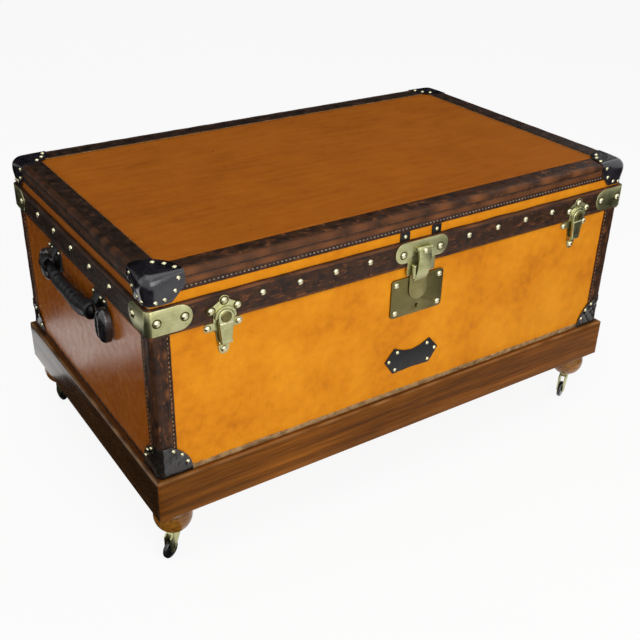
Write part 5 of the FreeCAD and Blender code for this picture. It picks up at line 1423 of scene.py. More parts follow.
@dataclass
class EdgeLeathers(Assembly):
    """Leather along the edges: the lid's trim and its stitches, the nailed band and the binding."""

    half: tuple = (448.5 * MM, 267.0 * MM)
    fold: float = 5.0 * MM
    thick: float = 1.5 * MM
    wall: float = 0.8 * MM
    front_reach: float = 1.0 * MM
    under_cap: float = 38.0 * MM
    trim_bottom_mm: float = 460.28
    trim_top_mm: float = 489.28
    trim_columns: int = 120
    window_mm: float = 33.5
    fold_from: float = 19.5 * MM
    fold_fade: float = 1.5 * MM
    fold_inset: float = 10.0 * MM
    fold_inset_fade: float = 2.0 * MM
    strip_at: float = 13.0 * MM
    strip_reach: float = 4.2 * MM
    strip_inset: float = 1.0 * MM
    fold_drift: float = 0.2 * MM
    line_inset_mm: float = 1.5
    line_level: float = 487.8 * MM
    line_half: tuple = (0.5 * MM, 0.4 * MM)
    stitch_pitch: float = 6.6 * MM
    stitch_end: float = 50.0 * MM
    stitch_rise_mm: float = 5.0
    stitch_level: float = 1.05 * MM
    stitch_size: tuple = (1.7 * MM, 1.2 * MM, 0.9 * MM)
    band_low: float = 401.58 * MM
    band_high: float = 445.28 * MM
    band_thick: float = 5.0 * MM
    band_step: float = 8.0 * MM
    band_round: float = 1.8 * MM
    groove_heights: tuple = (408.6 * MM, 438.4 * MM)
    groove_reach: float = 0.9 * MM
    groove_depth: float = 0.9 * MM
    # Height, place and reach of the soft upper edge.
    band_edge: tuple = (0.5 * MM, 442.0 * MM, 1.8 * MM)
    band_lump: float = 0.12 * MM
    band_drift: float = 0.45 * MM
    drift_from: float = 436.0 * MM
    drift_fade: float = 9.0 * MM
    # Weight, place and reach of the two rubbed lines.
    band_rubs: tuple = ((1.0, 442.5, 2.2), (0.6, 404.0, 2.0))
    bottom: float = 168.9 * MM
    binding_fold: float = 6.0 * MM
    binding_step: float = 6.0 * MM
    binding_high: float = 177.9 * MM
    binding_ragged: float = 1.6 * MM
    # How far in from the short ends the binding's painted shade begins.
    binding_shade_reach: float = 2.0 * MM
    binding_shares: tuple = (0.0, 0.0, 0.3, 0.6, 0.92, 1.0, 1.0)
    binding_levels_mm: tuple = (0.0, 0.9, 0.95, 0.9, 0.85, 0.5, 0.0)

    def build(self, bench: Bench) -> None:
        """Make the trim, the panel's raw edge, the stitches, the band and the binding."""
        # The trim's sides other than the front, and the ends of the band and stitches, take the darker
        # leather: painted shade.
        painted_shade_leather = "sewn_bridle_leather_painted_shade"
        on_ends = beyond(self.half[0] + self.front_reach)
        for side in Side:
            finish = "" if side is Side.FRONT else painted_shade_leather
            bench.put(self.trim_run(side), "lid", "edge_leather", "lid_edge_trim", finish=finish)
            bench.put(self.panel_line(side), "lid", "worn_binding")
        stitches = bench.put(self.trim_stitches(), "lid", "worn_binding", finish="waxed_linen_thread")
        bench.second(stitches, painted_shade_leather, on_ends)
        band = bench.put(self.band(), "lid", "edge_leather", "lid_band")
        bench.second(band, painted_shade_leather, on_ends)
        binding = bench.put(self.binding(), "trunk_body", "worn_binding", "body_bottom_binding")
        # The binding's short ends are dark leather: painted shade where the foot of the canvas is in
        # shadow.
        bench.second(binding, "edge_leather", beyond(self.half[0] - self.binding_shade_reach))

    def outer_half(self) -> tuple[float, float]:
        """Half length and half depth over the trim."""
        return self.half[0] + self.thick, self.half[1] + self.thick

    def trim_run(self, side: Side) -> Item:
        """The lid's edge leather along one side: up the side, over the edge and onto the top.

        Formula: the section's inset and height at each point, carried along the side and cut
        square under the caps; one groove parts the sewn strip from the rubbed fold, another the
        fold from the dark top.

        Args:
            side: The side.

        Returns:
            The run.
        """
        outer = self.thick / MM
        low, high, deep = self.trim_bottom_mm, self.trim_top_mm, self.window_mm + outer
        section = bent_profile([
            (outer, low, 0), (0.2, low + 0.1, 0.15), (0, low + 1.8, 0.4), (0.5, low + 5, 1.2),
            (-0.2, low + 8, 1.0), (-0.4, low + 12, 1.5), (-0.2, low + 16.5, 1.0), (0.9, low + 18.8, 0.6),
            (0, low + 20.8, 0.6), (0, low + 22.4, 0), (0, high, 5.5), (8, high, 0.8),
            (9.6, high - 0.7, 0.5), (11.2, high, 0.8), (20, high, 0), (deep - 3, high, 0.5),
            (deep - 0.3, high - 0.1, 0.2), (deep, high - 1.8, 0)], 4)
        inset, height = section[:, :1], section[:, 1:]
        half = self.outer_half()
        reach = side.along(half) - self.under_cap
        grid = on_side(side, np.linspace(-reach, reach, self.trim_columns)[None], -inset, height, half)
        along, seed = side.run(grid), side.value
        rise = height - low * MM
        fold = (np.clip((rise - self.fold_from) / self.fold_fade, 0, 1)
                * np.clip((self.fold_inset - inset) / self.fold_inset_fade, 0, 1))
        strip = hill(rise, self.strip_at, self.strip_reach, 4) * (inset < self.strip_inset)
        grid[..., 2] += self.fold_drift * wander(40 + seed, along, 20 * MM) * fold
        wear = fold * (0.28 + 0.4 * np.clip(wander(48 + seed, along, 22 * MM), -0.6, 1))
        wear = wear + strip * (0.42 + 0.25 * wander(44 + seed, along, 30 * MM))
        return surface("lid_trim_" + side.tag, grid, wall=-self.wall, wear=np.clip(wear, 0, 0.9))

    def panel_line(self, side: Side) -> Item:
        """The pale raw edge of the top canvas, a thin cord beside the trim.

        Formula: a small oval, carried along the side and mitred.

        Args:
            side: The side.

        Returns:
            The line.
        """
        turn = np.linspace(0, 2 * np.pi, 9)[:-1]
        wide, tall = self.line_half
        insets = (self.window_mm + self.line_inset_mm) * MM + wide * (1 - np.cos(turn))
        heights = self.line_level + tall * np.sin(turn)
        grid = mitred(side, insets, heights, self.outer_half(), 60)
        return surface("panel_line_" + side.tag, capped(grid), loop_rows=True)

    def trim_stitches(self) -> Item:
        """A row of small waxed beads along the lid trim's lower edge.

        Returns:
            All the stitches.
        """
        level = np.array(self.stitch_level)
        height = np.array((self.trim_bottom_mm + self.stitch_rise_mm) * MM)
        rows = []
        for side in Side:
            reach = side.along(self.half) - self.stitch_end
            us = np.arange(-reach, reach, self.stitch_pitch)
            row = on_side(side, us, level, height, self.half)
            ahead = on_side(side, us + 1, level, height, self.half) - row
            rows.append((row, ahead, np.cross(ahead, (0.0, 0.0, 1.0))))
        places, alongs, outs = (np.concatenate(parts) for parts in zip(*rows))
        long, wide, proud = self.stitch_size
        return scatter("trim_stitches", dome(2, 6), places, alongs * long, np.cross(outs, alongs) * wide,
                       outs * proud)

    def band(self) -> Item:
        """The nailed band round the lid: flat, with two pressed grooves and a soft upper edge.

        Formula: the level is the band's thickness, rounded off at both edges, less two narrow
        grooves; the upper edge wanders along the band.

        Returns:
            The band.
        """
        loop, outs, way = rounded_loop(self.half, self.fold, self.band_step)
        height = self.band_low + np.linspace(0, 1, 46) * (self.band_high - self.band_low)
        ends = np.minimum(height - self.band_low, self.band_high - height)
        rounding = np.clip(1 - ends / self.band_round, 0, 1)
        level = self.band_thick - self.band_round * (1 - np.sqrt(1 - rounding ** 2))
        level -= self.groove_depth * sum(hill(height, at, self.groove_reach) for at in self.groove_heights)
        level += self.band_edge[0] * hill(height, *self.band_edge[1:])
        level = np.concatenate([[0], level, [0]])
        height = np.concatenate([height[:1], height, height[-1:]])
        levels = level[:, None] + self.band_lump * wander(60, way, 20 * MM)[None] * (level > 0)[:, None]
        upper = np.clip((height - self.drift_from) / self.drift_fade, 0, 1)[:, None]
        drift = self.band_drift * wander(61, way, 30 * MM)[None] * upper
        grid = ring(loop, outs, levels, height[:, None] + drift)
        rub = sum(weight * hill(height, at * MM, reach * MM) for weight, at, reach in self.band_rubs)
        wear = np.clip(rub[:, None] * (0.35 + 0.4 * wander(62, way, 30 * MM)[None]), 0, 0.8)
        return surface("lid_band_strip", grid, loop_rows=True, loop_columns=True, wear=wear)

    def binding(self) -> Item:
        """The thin worn binding at the foot of the canvas, ragged along its upper edge.

        Formula: a sheet 0.9 mm proud whose upper edge wanders downwards.

        Returns:
            The binding.
        """
        loop, outs, way = rounded_loop(self.half, self.binding_fold, self.binding_step)
        ragged = self.binding_high - self.binding_ragged * np.abs(wander(63, way, 12 * MM))
        share = np.array(self.binding_shares)[:, None]
        grid = ring(loop, outs, np.array(self.binding_levels_mm) * MM,
                    self.bottom + share * (ragged[None] - self.bottom))
        return surface("binding_strip", grid, loop_rows=True, loop_columns=True)


@dataclass
class CornerCaps(Assembly):
    """Leather moulded over the eight corners of the trunk."""

    half: tuple = (451.5 * MM, 270.0 * MM)
    wall: float = 0.6 * MM
    rim: float = 2.6 * MM
    rim_fall: float = 0.4
    upper_fold: float = 14.5 * MM
    top: float = 490.78 * MM
    top_low: float = 448.28 * MM
    top_reach: float = 57.0 * MM
    top_shoulder: float = 471.28 * MM
    top_narrow: float = 37.0 * MM
    top_folds: tuple = (11.0 * MM, 7.0 * MM)
    top_fold_reach: float = 26.0 * MM
    top_power: float = 2.4
    top_lump: tuple = (12.0 * MM, 0.8 * MM)
    top_sink: float = 0.3 * MM
    top_flat: float = 2.0 * MM
    rim_calm: float = 0.75
    side_fade: float = 20.0 * MM
    rim_fade: float = 12.0 * MM
    puff: float = 3.2 * MM
    puff_reach: float = 38.0 * MM
    puff_end: float = 3.0 * MM
    puff_power: float = 1.5
    lower_fold: float = 10.0 * MM
    bottom: float = 168.85 * MM
    bottom_reach: float = 54.0 * MM
    bottom_lump: tuple = (9.0 * MM, 1.5 * MM)
    bottom_sink: float = 0.25 * MM
    ragged_share: float = 0.025
    ragged_wave: float = 10.0 * MM
    rub_wave: float = 12.0 * MM
    rub_from: float = 0.93

    def build(self, bench: Bench) -> None:
        """Make four caps above and four below."""
        for seed, (tag, signs) in enumerate(CORNERS.items()):
            path = CornerPath(self.half, signs, self.top_reach, self.upper_fold, 24, 11)
            upper = self.upper("top_cap_" + tag, path, seed)
            bench.put(upper, "lid", "cap_leather", "top_corner_caps")
            path = CornerPath(self.half, signs, self.bottom_reach, self.lower_fold, 24, 11)
            lower = self.lower("bottom_cap_" + tag, path, seed)
            bench.put(lower, "trunk_body", "cap_leather", "bottom_corner_caps",
                      finish="moulded_waxed_hide_crumpled")

    def upper_section(self, way: Grid) -> tuple[Grid, Grid, Grid]:
        """Heights and insets of an upper cap, from its lower outline to its end on the top.

        Formula: each column climbs the face, turns over the top edge in a quarter circle and
        runs inwards to the diagonal or to the round rim, where it turns down.

        Args:
            way: Each column's way from the corner.

        Returns:
            The lower outline, the heights and the insets.
        """
        widening = np.clip((way - self.top_narrow) / (self.top_reach - self.top_narrow), 0, 1)
        low = self.top_low + widening * (self.top_shoulder - self.top_low)
        power = self.top_power
        free = np.maximum(self.top_reach ** power - way ** power, 0) ** (1 / power)
        round_fold, end_fold = self.top_folds
        fold = end_fold + (round_fold - end_fold) * hill(way, 0.0, self.top_fold_reach)
        length = np.maximum(np.minimum(way, free), fold * 1.02)
        turn = np.linspace(0, np.pi / 2, 8)[1:, None]
        climb = np.linspace(0, 1, 16)[:, None]
        walk = np.linspace(0, 1, 14)[1:, None]
        shoulder = self.top - fold
        high = np.concatenate([low[None], low + climb * (shoulder - low), shoulder + fold * np.sin(turn),
                               self.top + 0 * walk * low])
        inset = np.concatenate([0 * low[None] + self.rim, 0 * climb * low, fold * (1 - np.cos(turn)),
                                fold + walk * (length - fold)])
        high = np.concatenate([high, high[-1:] - self.rim * (way > free)])
        return low, high, np.concatenate([inset, inset[-1:]])

    def upper(self, name: str, path: CornerPath, seed: int) -> Item:
        """A cap over a top corner.

        Formula: the section of upper_section(), with soft lumps; the face stands out by the puff,
        which fades along it as exp(-a^4) and swells and sinks up it as a sine.

        Args:
            name: The piece's name.
            path: The way round the corner.
            seed: Picks the lumps.

        Returns:
            The cap.
        """
        way = path.ways.max(0)
        low, high, inset = self.upper_section(way)
        grid = path.place(inset, high)
        near = np.minimum((self.top_reach - way) / self.side_fade, 1)[None]
        edge = np.minimum(near, np.clip((high - low) / self.rim_fade, 0, 1))
        lumps = dimpled(grid, 70 + seed, *self.top_lump) * (1 - self.rim_calm * edge)
        lumps = np.maximum(lumps, -self.top_sink)
        rise = np.clip((high - low) / (self.top - self.puff_end - low), 0, 1) ** self.puff_power
        lumps += self.puff * hill(way, 0.0, self.puff_reach, 4)[None] * np.sin(np.pi * rise)
        on_face = high < self.top - self.top_flat
        grid = self.close_sides(path.place(inset - lumps * on_face, high), path)
        wear = padded(np.clip(0.5 - edge * 4, 0, 1))
        return surface(name, grid, wall=-self.wall, wear=wear, smooth_degrees=SOFT)

    def close_sides(self, grid: Grid, path: CornerPath) -> Grid:
        """Turn the cap's two side rims down to the leather, with one more column at each."""
        first, last = (grid[:, end] - self.rim * np.append(path.leads[:, end] * path.signs, self.rim_fall)
                       for end in (0, -1))
        return np.concatenate([first[:, None], grid, last[:, None]], 1)

    def lower(self, name: str, path: CornerPath, seed: int) -> Item:
        """A cap round a bottom corner, with a round upper rim.

        Formula: at distance a from the corner the cap climbs the root of R squared less a
        squared, with folds that deepen towards the rim.

        Args:
            name: The piece's name.
            path: The way round the corner.
            seed: Picks the folds.

        Returns:
            The cap.
        """
        round_corner = path.ways[0] - path.ways[1]
        way = np.hypot(*path.ways)
        rise = np.sqrt(np.maximum(self.bottom_reach ** 2 - way ** 2, 0))
        climb = np.linspace(0, 1, 20)[:, None]
        outline = rise * (1 + self.ragged_share * wander(80 + seed, round_corner, self.ragged_wave))
        high = self.bottom + climb * outline[None]
        high = np.concatenate([high, high[-1:]])
        inset = np.concatenate([0 * climb * rise, self.rim + 0 * rise[None]])
        grid = path.place(inset, high)
        share = np.concatenate([climb, [[1.0]]])
        lumps = dimpled(grid, 84 + seed, *self.bottom_lump) * (0.3 + 0.7 * share)
        grid = path.place(inset - np.maximum(lumps, -self.bottom_sink), high)
        ragged = np.clip(0.5 + 0.45 * wander(88 + seed, round_corner, self.rub_wave), 0, 1)
        wear = np.clip((share - self.rub_from) / (1 - self.rub_from), 0, 1) * ragged[None]
        return surface(name, grid, wall=-self.wall, wear=wear, smooth_degrees=SOFT)


@dataclass
class Studs(Assembly):
    """Domed heads in the places of the nails or rivets of one CAD node, with or without collars."""

    node: str
    slot: str
    bulge: float = 1.15
    collar: float = 0.0
    collar_height: float = 0.35 * MM

    def build(self, bench: Bench) -> None:
        """Find each head's place, direction and radius from its solid, and set a dome there."""
        boxes = islands(bench.nodes[self.node])
        size = boxes[:, 1] - boxes[:, 0]
        middle = boxes.mean(1)
        axis = size.argmin(1)
        facing = np.where(middle[np.arange(len(boxes)), axis] > 0, 1.0, -1.0)
        outs = np.eye(3)[axis] * facing[:, None]
        us = np.eye(3)[(axis + 1) % 3]
        vs = np.cross(outs, us)
        height = size.min(1)[:, None]
        radius = size.max(1)[:, None] / 2
        origins = middle - outs * height / 2
        heads = scatter(self.node + "_heads", dome(5, 18), origins, us * radius, vs * radius,
                        outs * height * self.bulge)
        bench.put(heads, bench.bodies[self.node], self.slot, self.node)
        if self.collar:
            wide = radius * self.collar
            collars = scatter(self.node + "_collars", dome(1, 18), origins, us * wide, vs * wide,
                              outs * self.collar_height)
            bench.put(collars, bench.bodies[self.node], self.slot, finish="tarnished_brass_collar")


@dataclass
class Brassware(Assembly):
    """Brackets, latches, the lock's plates and the hasp."""

    sharp: tuple = ("corner_brackets", "hasp_plate", "latch_bases", "latch_keepers")
    moving: tuple = ("latch_lever_left", "latch_lever_right")
    sharp_mm: float = 0.45
    moving_mm: float = 0.7
    tongue_top: float = 375.0 * MM
    knob_place: tuple = (0.0, -282.0 * MM, 428.3 * MM)
    knob_radius: float = 5.0 * MM
    knob_height: float = 4.0 * MM
    lug_place: tuple = (-17.0 * MM, -278.4 * MM, 384.0 * MM)
    lever_x: float = 341.3 * MM
    lever_front: float = 279.5 * MM
    ridge_z: float = 400.5 * MM
    ridge_sink: float = 0.3 * MM
    disc_z: float = 410.2 * MM
    disc_sink: float = 0.2 * MM
    disc_radius: float = 8.6 * MM
    disc_height: float = 1.5 * MM

    def build(self, bench: Bench) -> None:
        """Bevel the plates and levers, and add the hasp's knob and lug and the levers' raised work."""
        for node in self.sharp:
            bench.copy(node, "brass", self.sharp_mm)
        for node in self.moving:
            bench.copy(node, "brass", self.moving_mm)
        bench.copy("lock_plate", "brass", self.sharp_mm, "dull_lock_brass")
        hasp = bench.copy("hasp", "brass", self.moving_mm)
        bench.second(hasp, "dull_lock_brass_rubbed", lambda middles: middles[:, 2] < self.tongue_top)
        knob = self.front_dome("hasp_knob", self.knob_place, self.knob_radius, self.knob_height, 24)
        bench.put(knob, "hasp", "brass_nail")
        bench.put(self.lug(), "hasp", "brass")
        for tag, sign in (("left", -1), ("right", 1)):
            lever = "latch_lever_" + tag
            bench.put(self.ridge(tag, sign), lever, "brass_nail")
            place = (sign * self.lever_x, -self.lever_front + self.disc_sink, self.disc_z)
            disc = self.front_dome("latch_disc_" + tag, place, self.disc_radius, self.disc_height, 32)
            bench.put(disc, lever, "brass", finish="dull_lock_brass")

    def front_dome(self, name: str, place: tuple, radius: float, height: float, sectors: int) -> Item:
        """A dome that faces the front, as wide as its radius in X and Z, and as high to -Y."""
        return scatter(name, dome(6, sectors), np.array([place]), np.array([[radius, 0, 0]]),
                       np.array([[0, 0, radius]]), np.array([[0, -height, 0]]))

    def lug(self) -> Item:
        """A small upright lug with a rounded head: a section turned round an upright axis."""
        profile = bent_profile([(0, 0, 0), (3.2, 0, 0.5), (3.2, 19, 0), (3.8, 19.8, 0.4), (3.8, 22.4, 0.8),
                                (0, 23, 0)])
        return surface("hasp_side_lug", turned(self.lug_place, (0, 0, 1), profile, 24), loop_columns=True)

    def ridge(self, tag: str, sign: int) -> Item:
        """The bright bend across a latch lever: a section turned round an axis along X."""
        profile = bent_profile([(0, -10.4, 0), (1.3, -10.4, 0.8), (1.3, 10.4, 0.8), (0, 10.4, 0)])
        centre = (sign * self.lever_x, -self.lever_front + self.ridge_sink, self.ridge_z)
        return surface("latch_ridge_" + tag, turned(centre, (1, 0, 0), profile, 16), loop_columns=True)


@dataclass
class SmallLeathers(Assembly):
    """The nailed patch below the lock and the two tabs above it."""

    def build(self, bench: Bench) -> None:
        """Soften the edges of the cut leather."""
        bench.copy("lock_patch", "handle_leather", 0.8)
        bench.copy("strap_tabs", "handle_leather", 0.6)


@dataclass(frozen=True)
class Cushion:
    """The sizes of a leather end or chape: round or square by its power, with or without ribs."""

    half: tuple
    base: float
    thick: float
    power: float
    ribs: tuple = ()
    rib_height: float = 2.6 * MM
    rib_reach: float = 2.4 * MM
    rim_share: float = 0.45
    rub_from: float = 0.9
    rub_most: float = 0.6


@dataclass
class Handle(Assembly):
    """A side handle: leather sewn round a firm core, with oval ends, held by two nailed straps."""

    sign: int
    face: float = 448.5 * MM
    axis_out: float = 17.0 * MM
    axis_up: float = 371.98 * MM
    chord: float = 98.0 * MM
    sag: float = 18.0 * MM
    droop: float = math.radians(97)
    end: float = 104.0 * MM
    slide: float = 12.0 * MM
    wide: float = 14.5 * MM
    thick: float = 9.6 * MM
    held_reach: float = 77.0 * MM
    front_neck: tuple = (11.0 * MM, 9.2 * MM)
    rear_neck: tuple = (8.6 * MM, 7.6 * MM)
    # Height, place and reach of the grip's fuller stretch.
    belly: tuple = (1.8 * MM, -42.0 * MM, 34.0 * MM)
    fold_depth: float = 1.1 * MM
    fold_slant: float = 4.0 * MM
    fold_wave: float = 5.5 * MM
    pad_places: tuple = (121.0 * MM, 116.0 * MM)
    pad_up: float = 355.0 * MM
    pad: Cushion = Cushion((18.5 * MM, 27.5 * MM), 3.2 * MM, 14.5 * MM, 2.3, (7.0 * MM, -6.0 * MM))
    chape_middle: tuple = (94.0 * MM, 374.0 * MM)
    chape: Cushion = Cushion((27.0 * MM, 21.0 * MM), -0.1 * MM, 2.6 * MM, 5.0)
    loop_at: float = 90.0 * MM
    loop_degrees: tuple = (125.0, -140.0)
    loop_radii: tuple = (10.8 * MM, 12.6 * MM)
    loop_drop: float = 2.5 * MM
    # Way out from the canvas and height of the strap's two flat ends.
    strap_start_mm: tuple = ((1.5, 392.5), (2.6, 390.5), (6.2, 386.2))
    strap_end_mm: tuple = ((5.2, 357.6), (2.4, 355.6), (1.5, 354.4))
    strap_widths_mm: tuple = (-9.2, -9.0, -8.4, -4.0, 0.0, 4.0, 8.4, 9.0, 9.2)
    strap_levels_mm: tuple = (-1.4, 0.2, 0.9, 1.3, 1.4, 1.3, 0.9, 0.2, -1.4)

    @property
    def tag(self) -> str:
        """The side's name."""
        return "right" if self.sign > 0 else "left"

    def build(self, bench: Bench) -> None:
        """Make the grip and its ends, and the straps that hold it."""
        body = "handle_" + self.tag
        bench.put(self.grip(), body, "handle_leather", "handle_grip_" + self.tag)
        for hand, end in ((-1, "front"), (1, "rear")):
            last = f"{self.tag}_{end}"
            middle = (hand * self.pad_places[hand > 0], self.pad_up)
            pad = self.cushion("handle_pad_" + last, middle, self.pad)
            bench.put(pad, body, "cap_leather", finish="polished_black_leather")
            middle = (hand * self.chape_middle[0], self.chape_middle[1])
            chape = self.cushion("handle_chape_" + last, middle, self.chape)
            bench.put(chape, "trunk_body", "handle_leather", "handle_loops")
            bench.put(self.strap("handle_strap_" + last, hand), "trunk_body", "handle_leather")

    def spot(self, out: Grid, y: Grid, z: Grid) -> Grid:
        """A point from its way out from the canvas, its y and its height."""
        out, y, z = np.broadcast_arrays(out, y, z)
        return np.stack([self.sign * (self.face + out), y, z], -1)

    def grip(self) -> Item:
        """The grip: an oval section along a hanging bow, slid a little to the front in its straps.

        Formula: the middle hangs below the axis by the sag times one less the cube of y over the
        chord; the section is wide along the held stretch, narrow in the necks, and closes at the
        ends as the root of one less the eighth power of y over the half length; folds across it
        come from a wandering line.

        Returns:
            The grip.
        """
        y = np.sin(np.linspace(-np.pi / 2, np.pi / 2, 121)) * self.end
        hang = self.sag * (1 - np.clip(np.abs(y) / self.chord, 0, 1) ** 3)
        swell = hill(y, -self.slide, self.held_reach, 8)
        closing = np.sqrt(np.clip(1 - (np.abs(y) / self.end) ** 8, 0, 1))
        front, rear = np.array(self.front_neck)[:, None], np.array(self.rear_neck)[:, None]
        neck = np.where(y < 0, front, rear)
        hold = np.array([self.wide, self.thick])[:, None] + self.belly[0] * hill(y, *self.belly[1:])
        wide, thick = (neck + (hold - neck) * swell) * closing
        turn = np.linspace(0, 2 * np.pi, 40, endpoint=False)[:, None]
        folds = wander(90, y + self.fold_slant * np.sin(2 * turn), self.fold_wave)
        folds = self.fold_depth * folds * swell * closing
        down = (wide + folds) * np.cos(turn) + hang
        out = (thick + folds) * np.sin(turn)
        away = self.axis_out + down * math.cos(self.droop) + out * math.sin(self.droop)
        high = self.axis_up - down * math.sin(self.droop) + out * math.cos(self.droop)
        return surface("handle_grip_made_" + self.tag, self.spot(away, y[None], high), loop_rows=True)

    def cushion(self, name: str, middle: tuple, sizes: Cushion) -> Item:
        """An end of the grip or a chape: a flat piece with rounded rims.

        Formula: rings of a superellipse from the front's middle to the rim and back behind; the
        front rises as the root of one less the fourth power of the ring's share, with an upright
        rib at each of the ribs' places.

        Args:
            name: The piece's name.
            middle: Its y and its height.
            sizes: Its sizes.

        Returns:
            The piece.
        """
        share = np.concatenate([np.sin(np.linspace(0, np.pi / 2, 14)), [1.0, 0.0]])
        turn = np.linspace(0, 2 * np.pi, 48, endpoint=False)
        c, s = np.cos(turn), np.sin(turn)
        shape = (np.abs(c) ** sizes.power + np.abs(s) ** sizes.power) ** (-1 / sizes.power)
        u = share[:, None] * shape * c * sizes.half[0]
        v = share[:, None] * shape * s * sizes.half[1]
        inner = 1 - share ** 4
        rise = sizes.rim_share + (1 - sizes.rim_share) * np.sqrt(np.clip(inner, 0, 1))
        rise[-2:] = 0
        ribs = sum(hill(u, place, sizes.rib_reach) for place in sizes.ribs)
        level = rise[:, None] * sizes.thick + sizes.rib_height * inner[:, None] * ribs
        wear = np.clip((share - sizes.rub_from) / (1 - sizes.rub_from), 0, 1) * sizes.rub_most
        points = self.spot(sizes.base + level, middle[0] + u, middle[1] + v)
        return surface(name, points, loop_columns=True, wear=wear[:, None], smooth_degrees=SOFT)

    def strap(self, name: str, hand: int) -> Item:
        """A leather strap that goes from the chape round the grip and back.

        Formula: a path that leaves the canvas, follows three quarters of an ellipse round the
        grip's axis and returns; it is carried along the axis and given a rounded thickness.

        Args:
            name: The piece's name.
            hand: -1 for the front strap, 1 for the rear one.

        Returns:
            The strap.
        """
        turn = np.radians(np.linspace(*self.loop_degrees, 34))
        around = np.column_stack([self.axis_out + self.loop_radii[0] * np.cos(turn),
                                  self.axis_up - self.loop_drop + self.loop_radii[1] * np.sin(turn)])
        start, close = np.array(self.strap_start_mm) * MM, np.array(self.strap_end_mm) * MM
        path = np.concatenate([start, around, close])
        ahead = np.gradient(path, axis=0)
        normal = np.column_stack([-ahead[:, 1], ahead[:, 0]]) / np.linalg.norm(ahead, axis=1)[:, None]
        levels = np.array(self.strap_levels_mm)[:, None, None] * MM
        out, high = np.moveaxis(path[None] + normal[None] * levels, -1, 0)
        y = hand * self.loop_at + np.array(self.strap_widths_mm)[:, None] * MM
        return surface(name, self.spot(out, y, high), loop_rows=True, smooth_degrees=50)


@dataclass(frozen=True)
class Lamp(Assembly):
    """A square soft lamp that looks at the trunk's middle: metres and watts."""

    name: str
    place: tuple
    size: float
    power: float

    def build(self, bench: Bench) -> None:
        """Set the lamp up and turn it to the trunk."""
        data = bpy.data.lights.new(self.name, "AREA")
        data.size = self.size
        data.energy = self.power
        item = bpy.data.objects.new(self.name, data)
        turn = (Vector(TRUNK_MIDDLE) - Vector(self.place)).to_track_quat("-Z", "Y")
        item.matrix_world = Matrix.Translation(self.place) @ turn.to_matrix().to_4x4()
        bpy.context.scene.collection.objects.link(item)


@dataclass(frozen=True)
class Card(Assembly):
    """A black card, as a photographer sets it to keep the room out of a polished side."""

    name: str
    start: tuple
    along: tuple
    across: tuple

    def build(self, bench: Bench) -> None:
        """Make the card, seen in reflections alone.

        Formula: the start plus shares of the two edges.
        """
        shares = np.linspace(0, 1, 3)
        points = (np.array(self.start) + shares[:, None, None] * np.array(self.along, float)
                  + shares[None, :, None] * np.array(self.across, float))
        item = surface(self.name, points)
        item.data.materials.append(bench.finishes["black_card"])
        item.visible_camera = False
        item.visible_diffuse = False
        item.visible_shadow = False
        item.visible_transmission = False


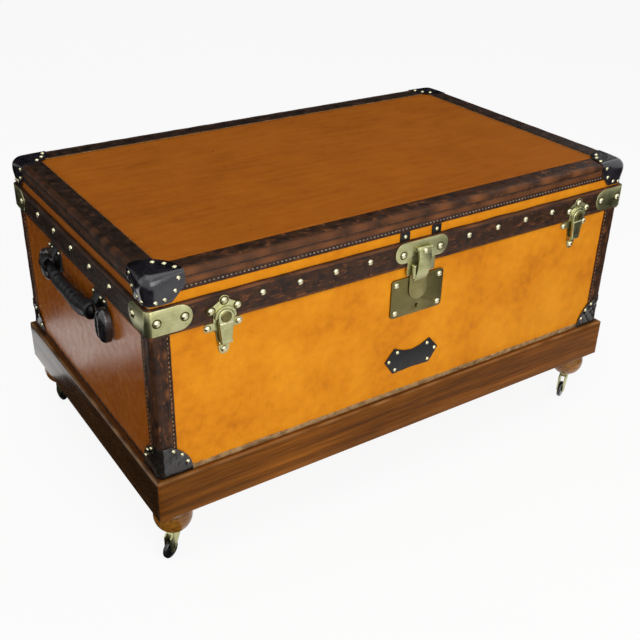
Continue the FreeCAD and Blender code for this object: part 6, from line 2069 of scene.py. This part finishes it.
@dataclass
class Studio(Assembly):
    """The pale floor, the soft lamps and the camera."""

    place: tuple = (-0.8490, -1.2528, 1.0186)
    azimuth: float = math.radians(-34.143)
    elevation: float = math.radians(29.209)
    roll: float = math.radians(1.393)
    focal_px: float = 925.70
    picture_px: float = 640.0
    film_mm: float = 36.0
    ambient: float = 0.34
    floor_half: float = 6.0
    pieces: tuple = (Lamp("lamp_front", (-0.5, -2.6, 1.4), 2.0, 47.0),
                     Lamp("lamp_above", (-0.5, -0.3, 3.2), 2.6, 23.0),
                     Lamp("lamp_left", (-2.8, 0.8, 1.6), 1.6, 5.0),
                     Card("card_left_front", (-3.0, -1.4, 0.004), (2.6, 0, 0), (0, 1.73, 0)),
                     Card("card_left_rear", (-3.0, 0.55, 0.004), (2.6, 0, 0), (0, 2.6, 0)),
                     Card("card_right_front", (0.72, -3.0, 0.004), (2.6, 0, 0), (0, 2.68, 0)),
                     Card("card_behind", (-3.0, 3.2, 0.2), (8.0, 0, 0), (0, 0, 4.5)))

    def build(self, bench: Bench) -> None:
        """Set up the view, the light, the floor and the cards."""
        bpy.context.scene.view_settings.view_transform = "Standard"
        self.camera()
        self.world()
        self.floor(bench)
        for piece in self.pieces:
            piece.build(bench)

    def camera(self) -> None:
        """Place the camera at the photograph's point of view."""
        a, e = self.azimuth, self.elevation
        back = Vector((math.sin(a) * math.cos(e), -math.cos(a) * math.cos(e), math.sin(e)))
        right = (-back).cross(Vector((0, 0, 1))).normalized()
        up = right.cross(-back)
        turned_right = right * math.cos(self.roll) + up * math.sin(self.roll)
        turned_up = up * math.cos(self.roll) - right * math.sin(self.roll)
        data = bpy.data.cameras.new("camera")
        data.sensor_width = self.film_mm
        data.lens = self.focal_px / self.picture_px * self.film_mm
        camera = bpy.data.objects.new("camera", data)
        turn = Matrix((turned_right, turned_up, back)).transposed()
        camera.matrix_world = Matrix.Translation(self.place) @ turn.to_4x4()
        bpy.context.scene.collection.objects.link(camera)
        bpy.context.scene.camera = camera

    def world(self) -> None:
        """A white room: full white where it is seen or mirrored, dimmer as light."""
        world = bpy.data.worlds.new("white_room")
        world.use_nodes = True
        tree = world.node_tree
        tree.nodes.clear()
        strength = add(tree, "MapRange", {0: seen_share(tree), 3: self.ambient, 4: 1.0})
        shader = add(tree, "Background", {0: "ffffff", 1: strength})
        add(tree, "OutputWorld", {0: shader}, whole=True)
        bpy.context.scene.world = world

    def floor(self, bench: Bench) -> None:
        """A pale matt floor that takes the trunk's shadow.

        Args:
            bench: The finishes.
        """
        places = np.linspace(-self.floor_half, self.floor_half, 9)
        x, y = np.meshgrid(places, places, indexing="ij")
        item = surface("floor", np.stack([x, y, np.zeros(x.shape)], -1))
        item.data.materials.append(bench.finishes["pale_floor"])


def main() -> None:
    """Load the frame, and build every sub-assembly in order."""
    logging.basicConfig(level=logging.INFO, format="%(name)s %(message)s")
    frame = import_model()
    behaviour = frame["record"]["behaviour"]
    bodies = {node: body for body, nodes in behaviour["bodies"].items() for node in nodes}
    joints = {joint["name"]: joint for joint in behaviour["joints"]}
    bench = Bench(frame["nodes"], bodies, joints, finishes())
    for part in (Stand(), Casters(), Carcass(), Canvas(), CornerStrips(), EdgeLeathers(), CornerCaps(),
                 Studs("body_nails", "brass_nail"), Studs("lid_nails", "brass_nail"),
                 Studs("lid_rivets", "brass_nail", bulge=1.0, collar=1.35), Brassware(), SmallLeathers(),
                 Handle(-1), Handle(1), Studio()):
        LOG.info("building %s", type(part).__name__)
        part.build(bench)


if __name__ == "__main__":
    main()
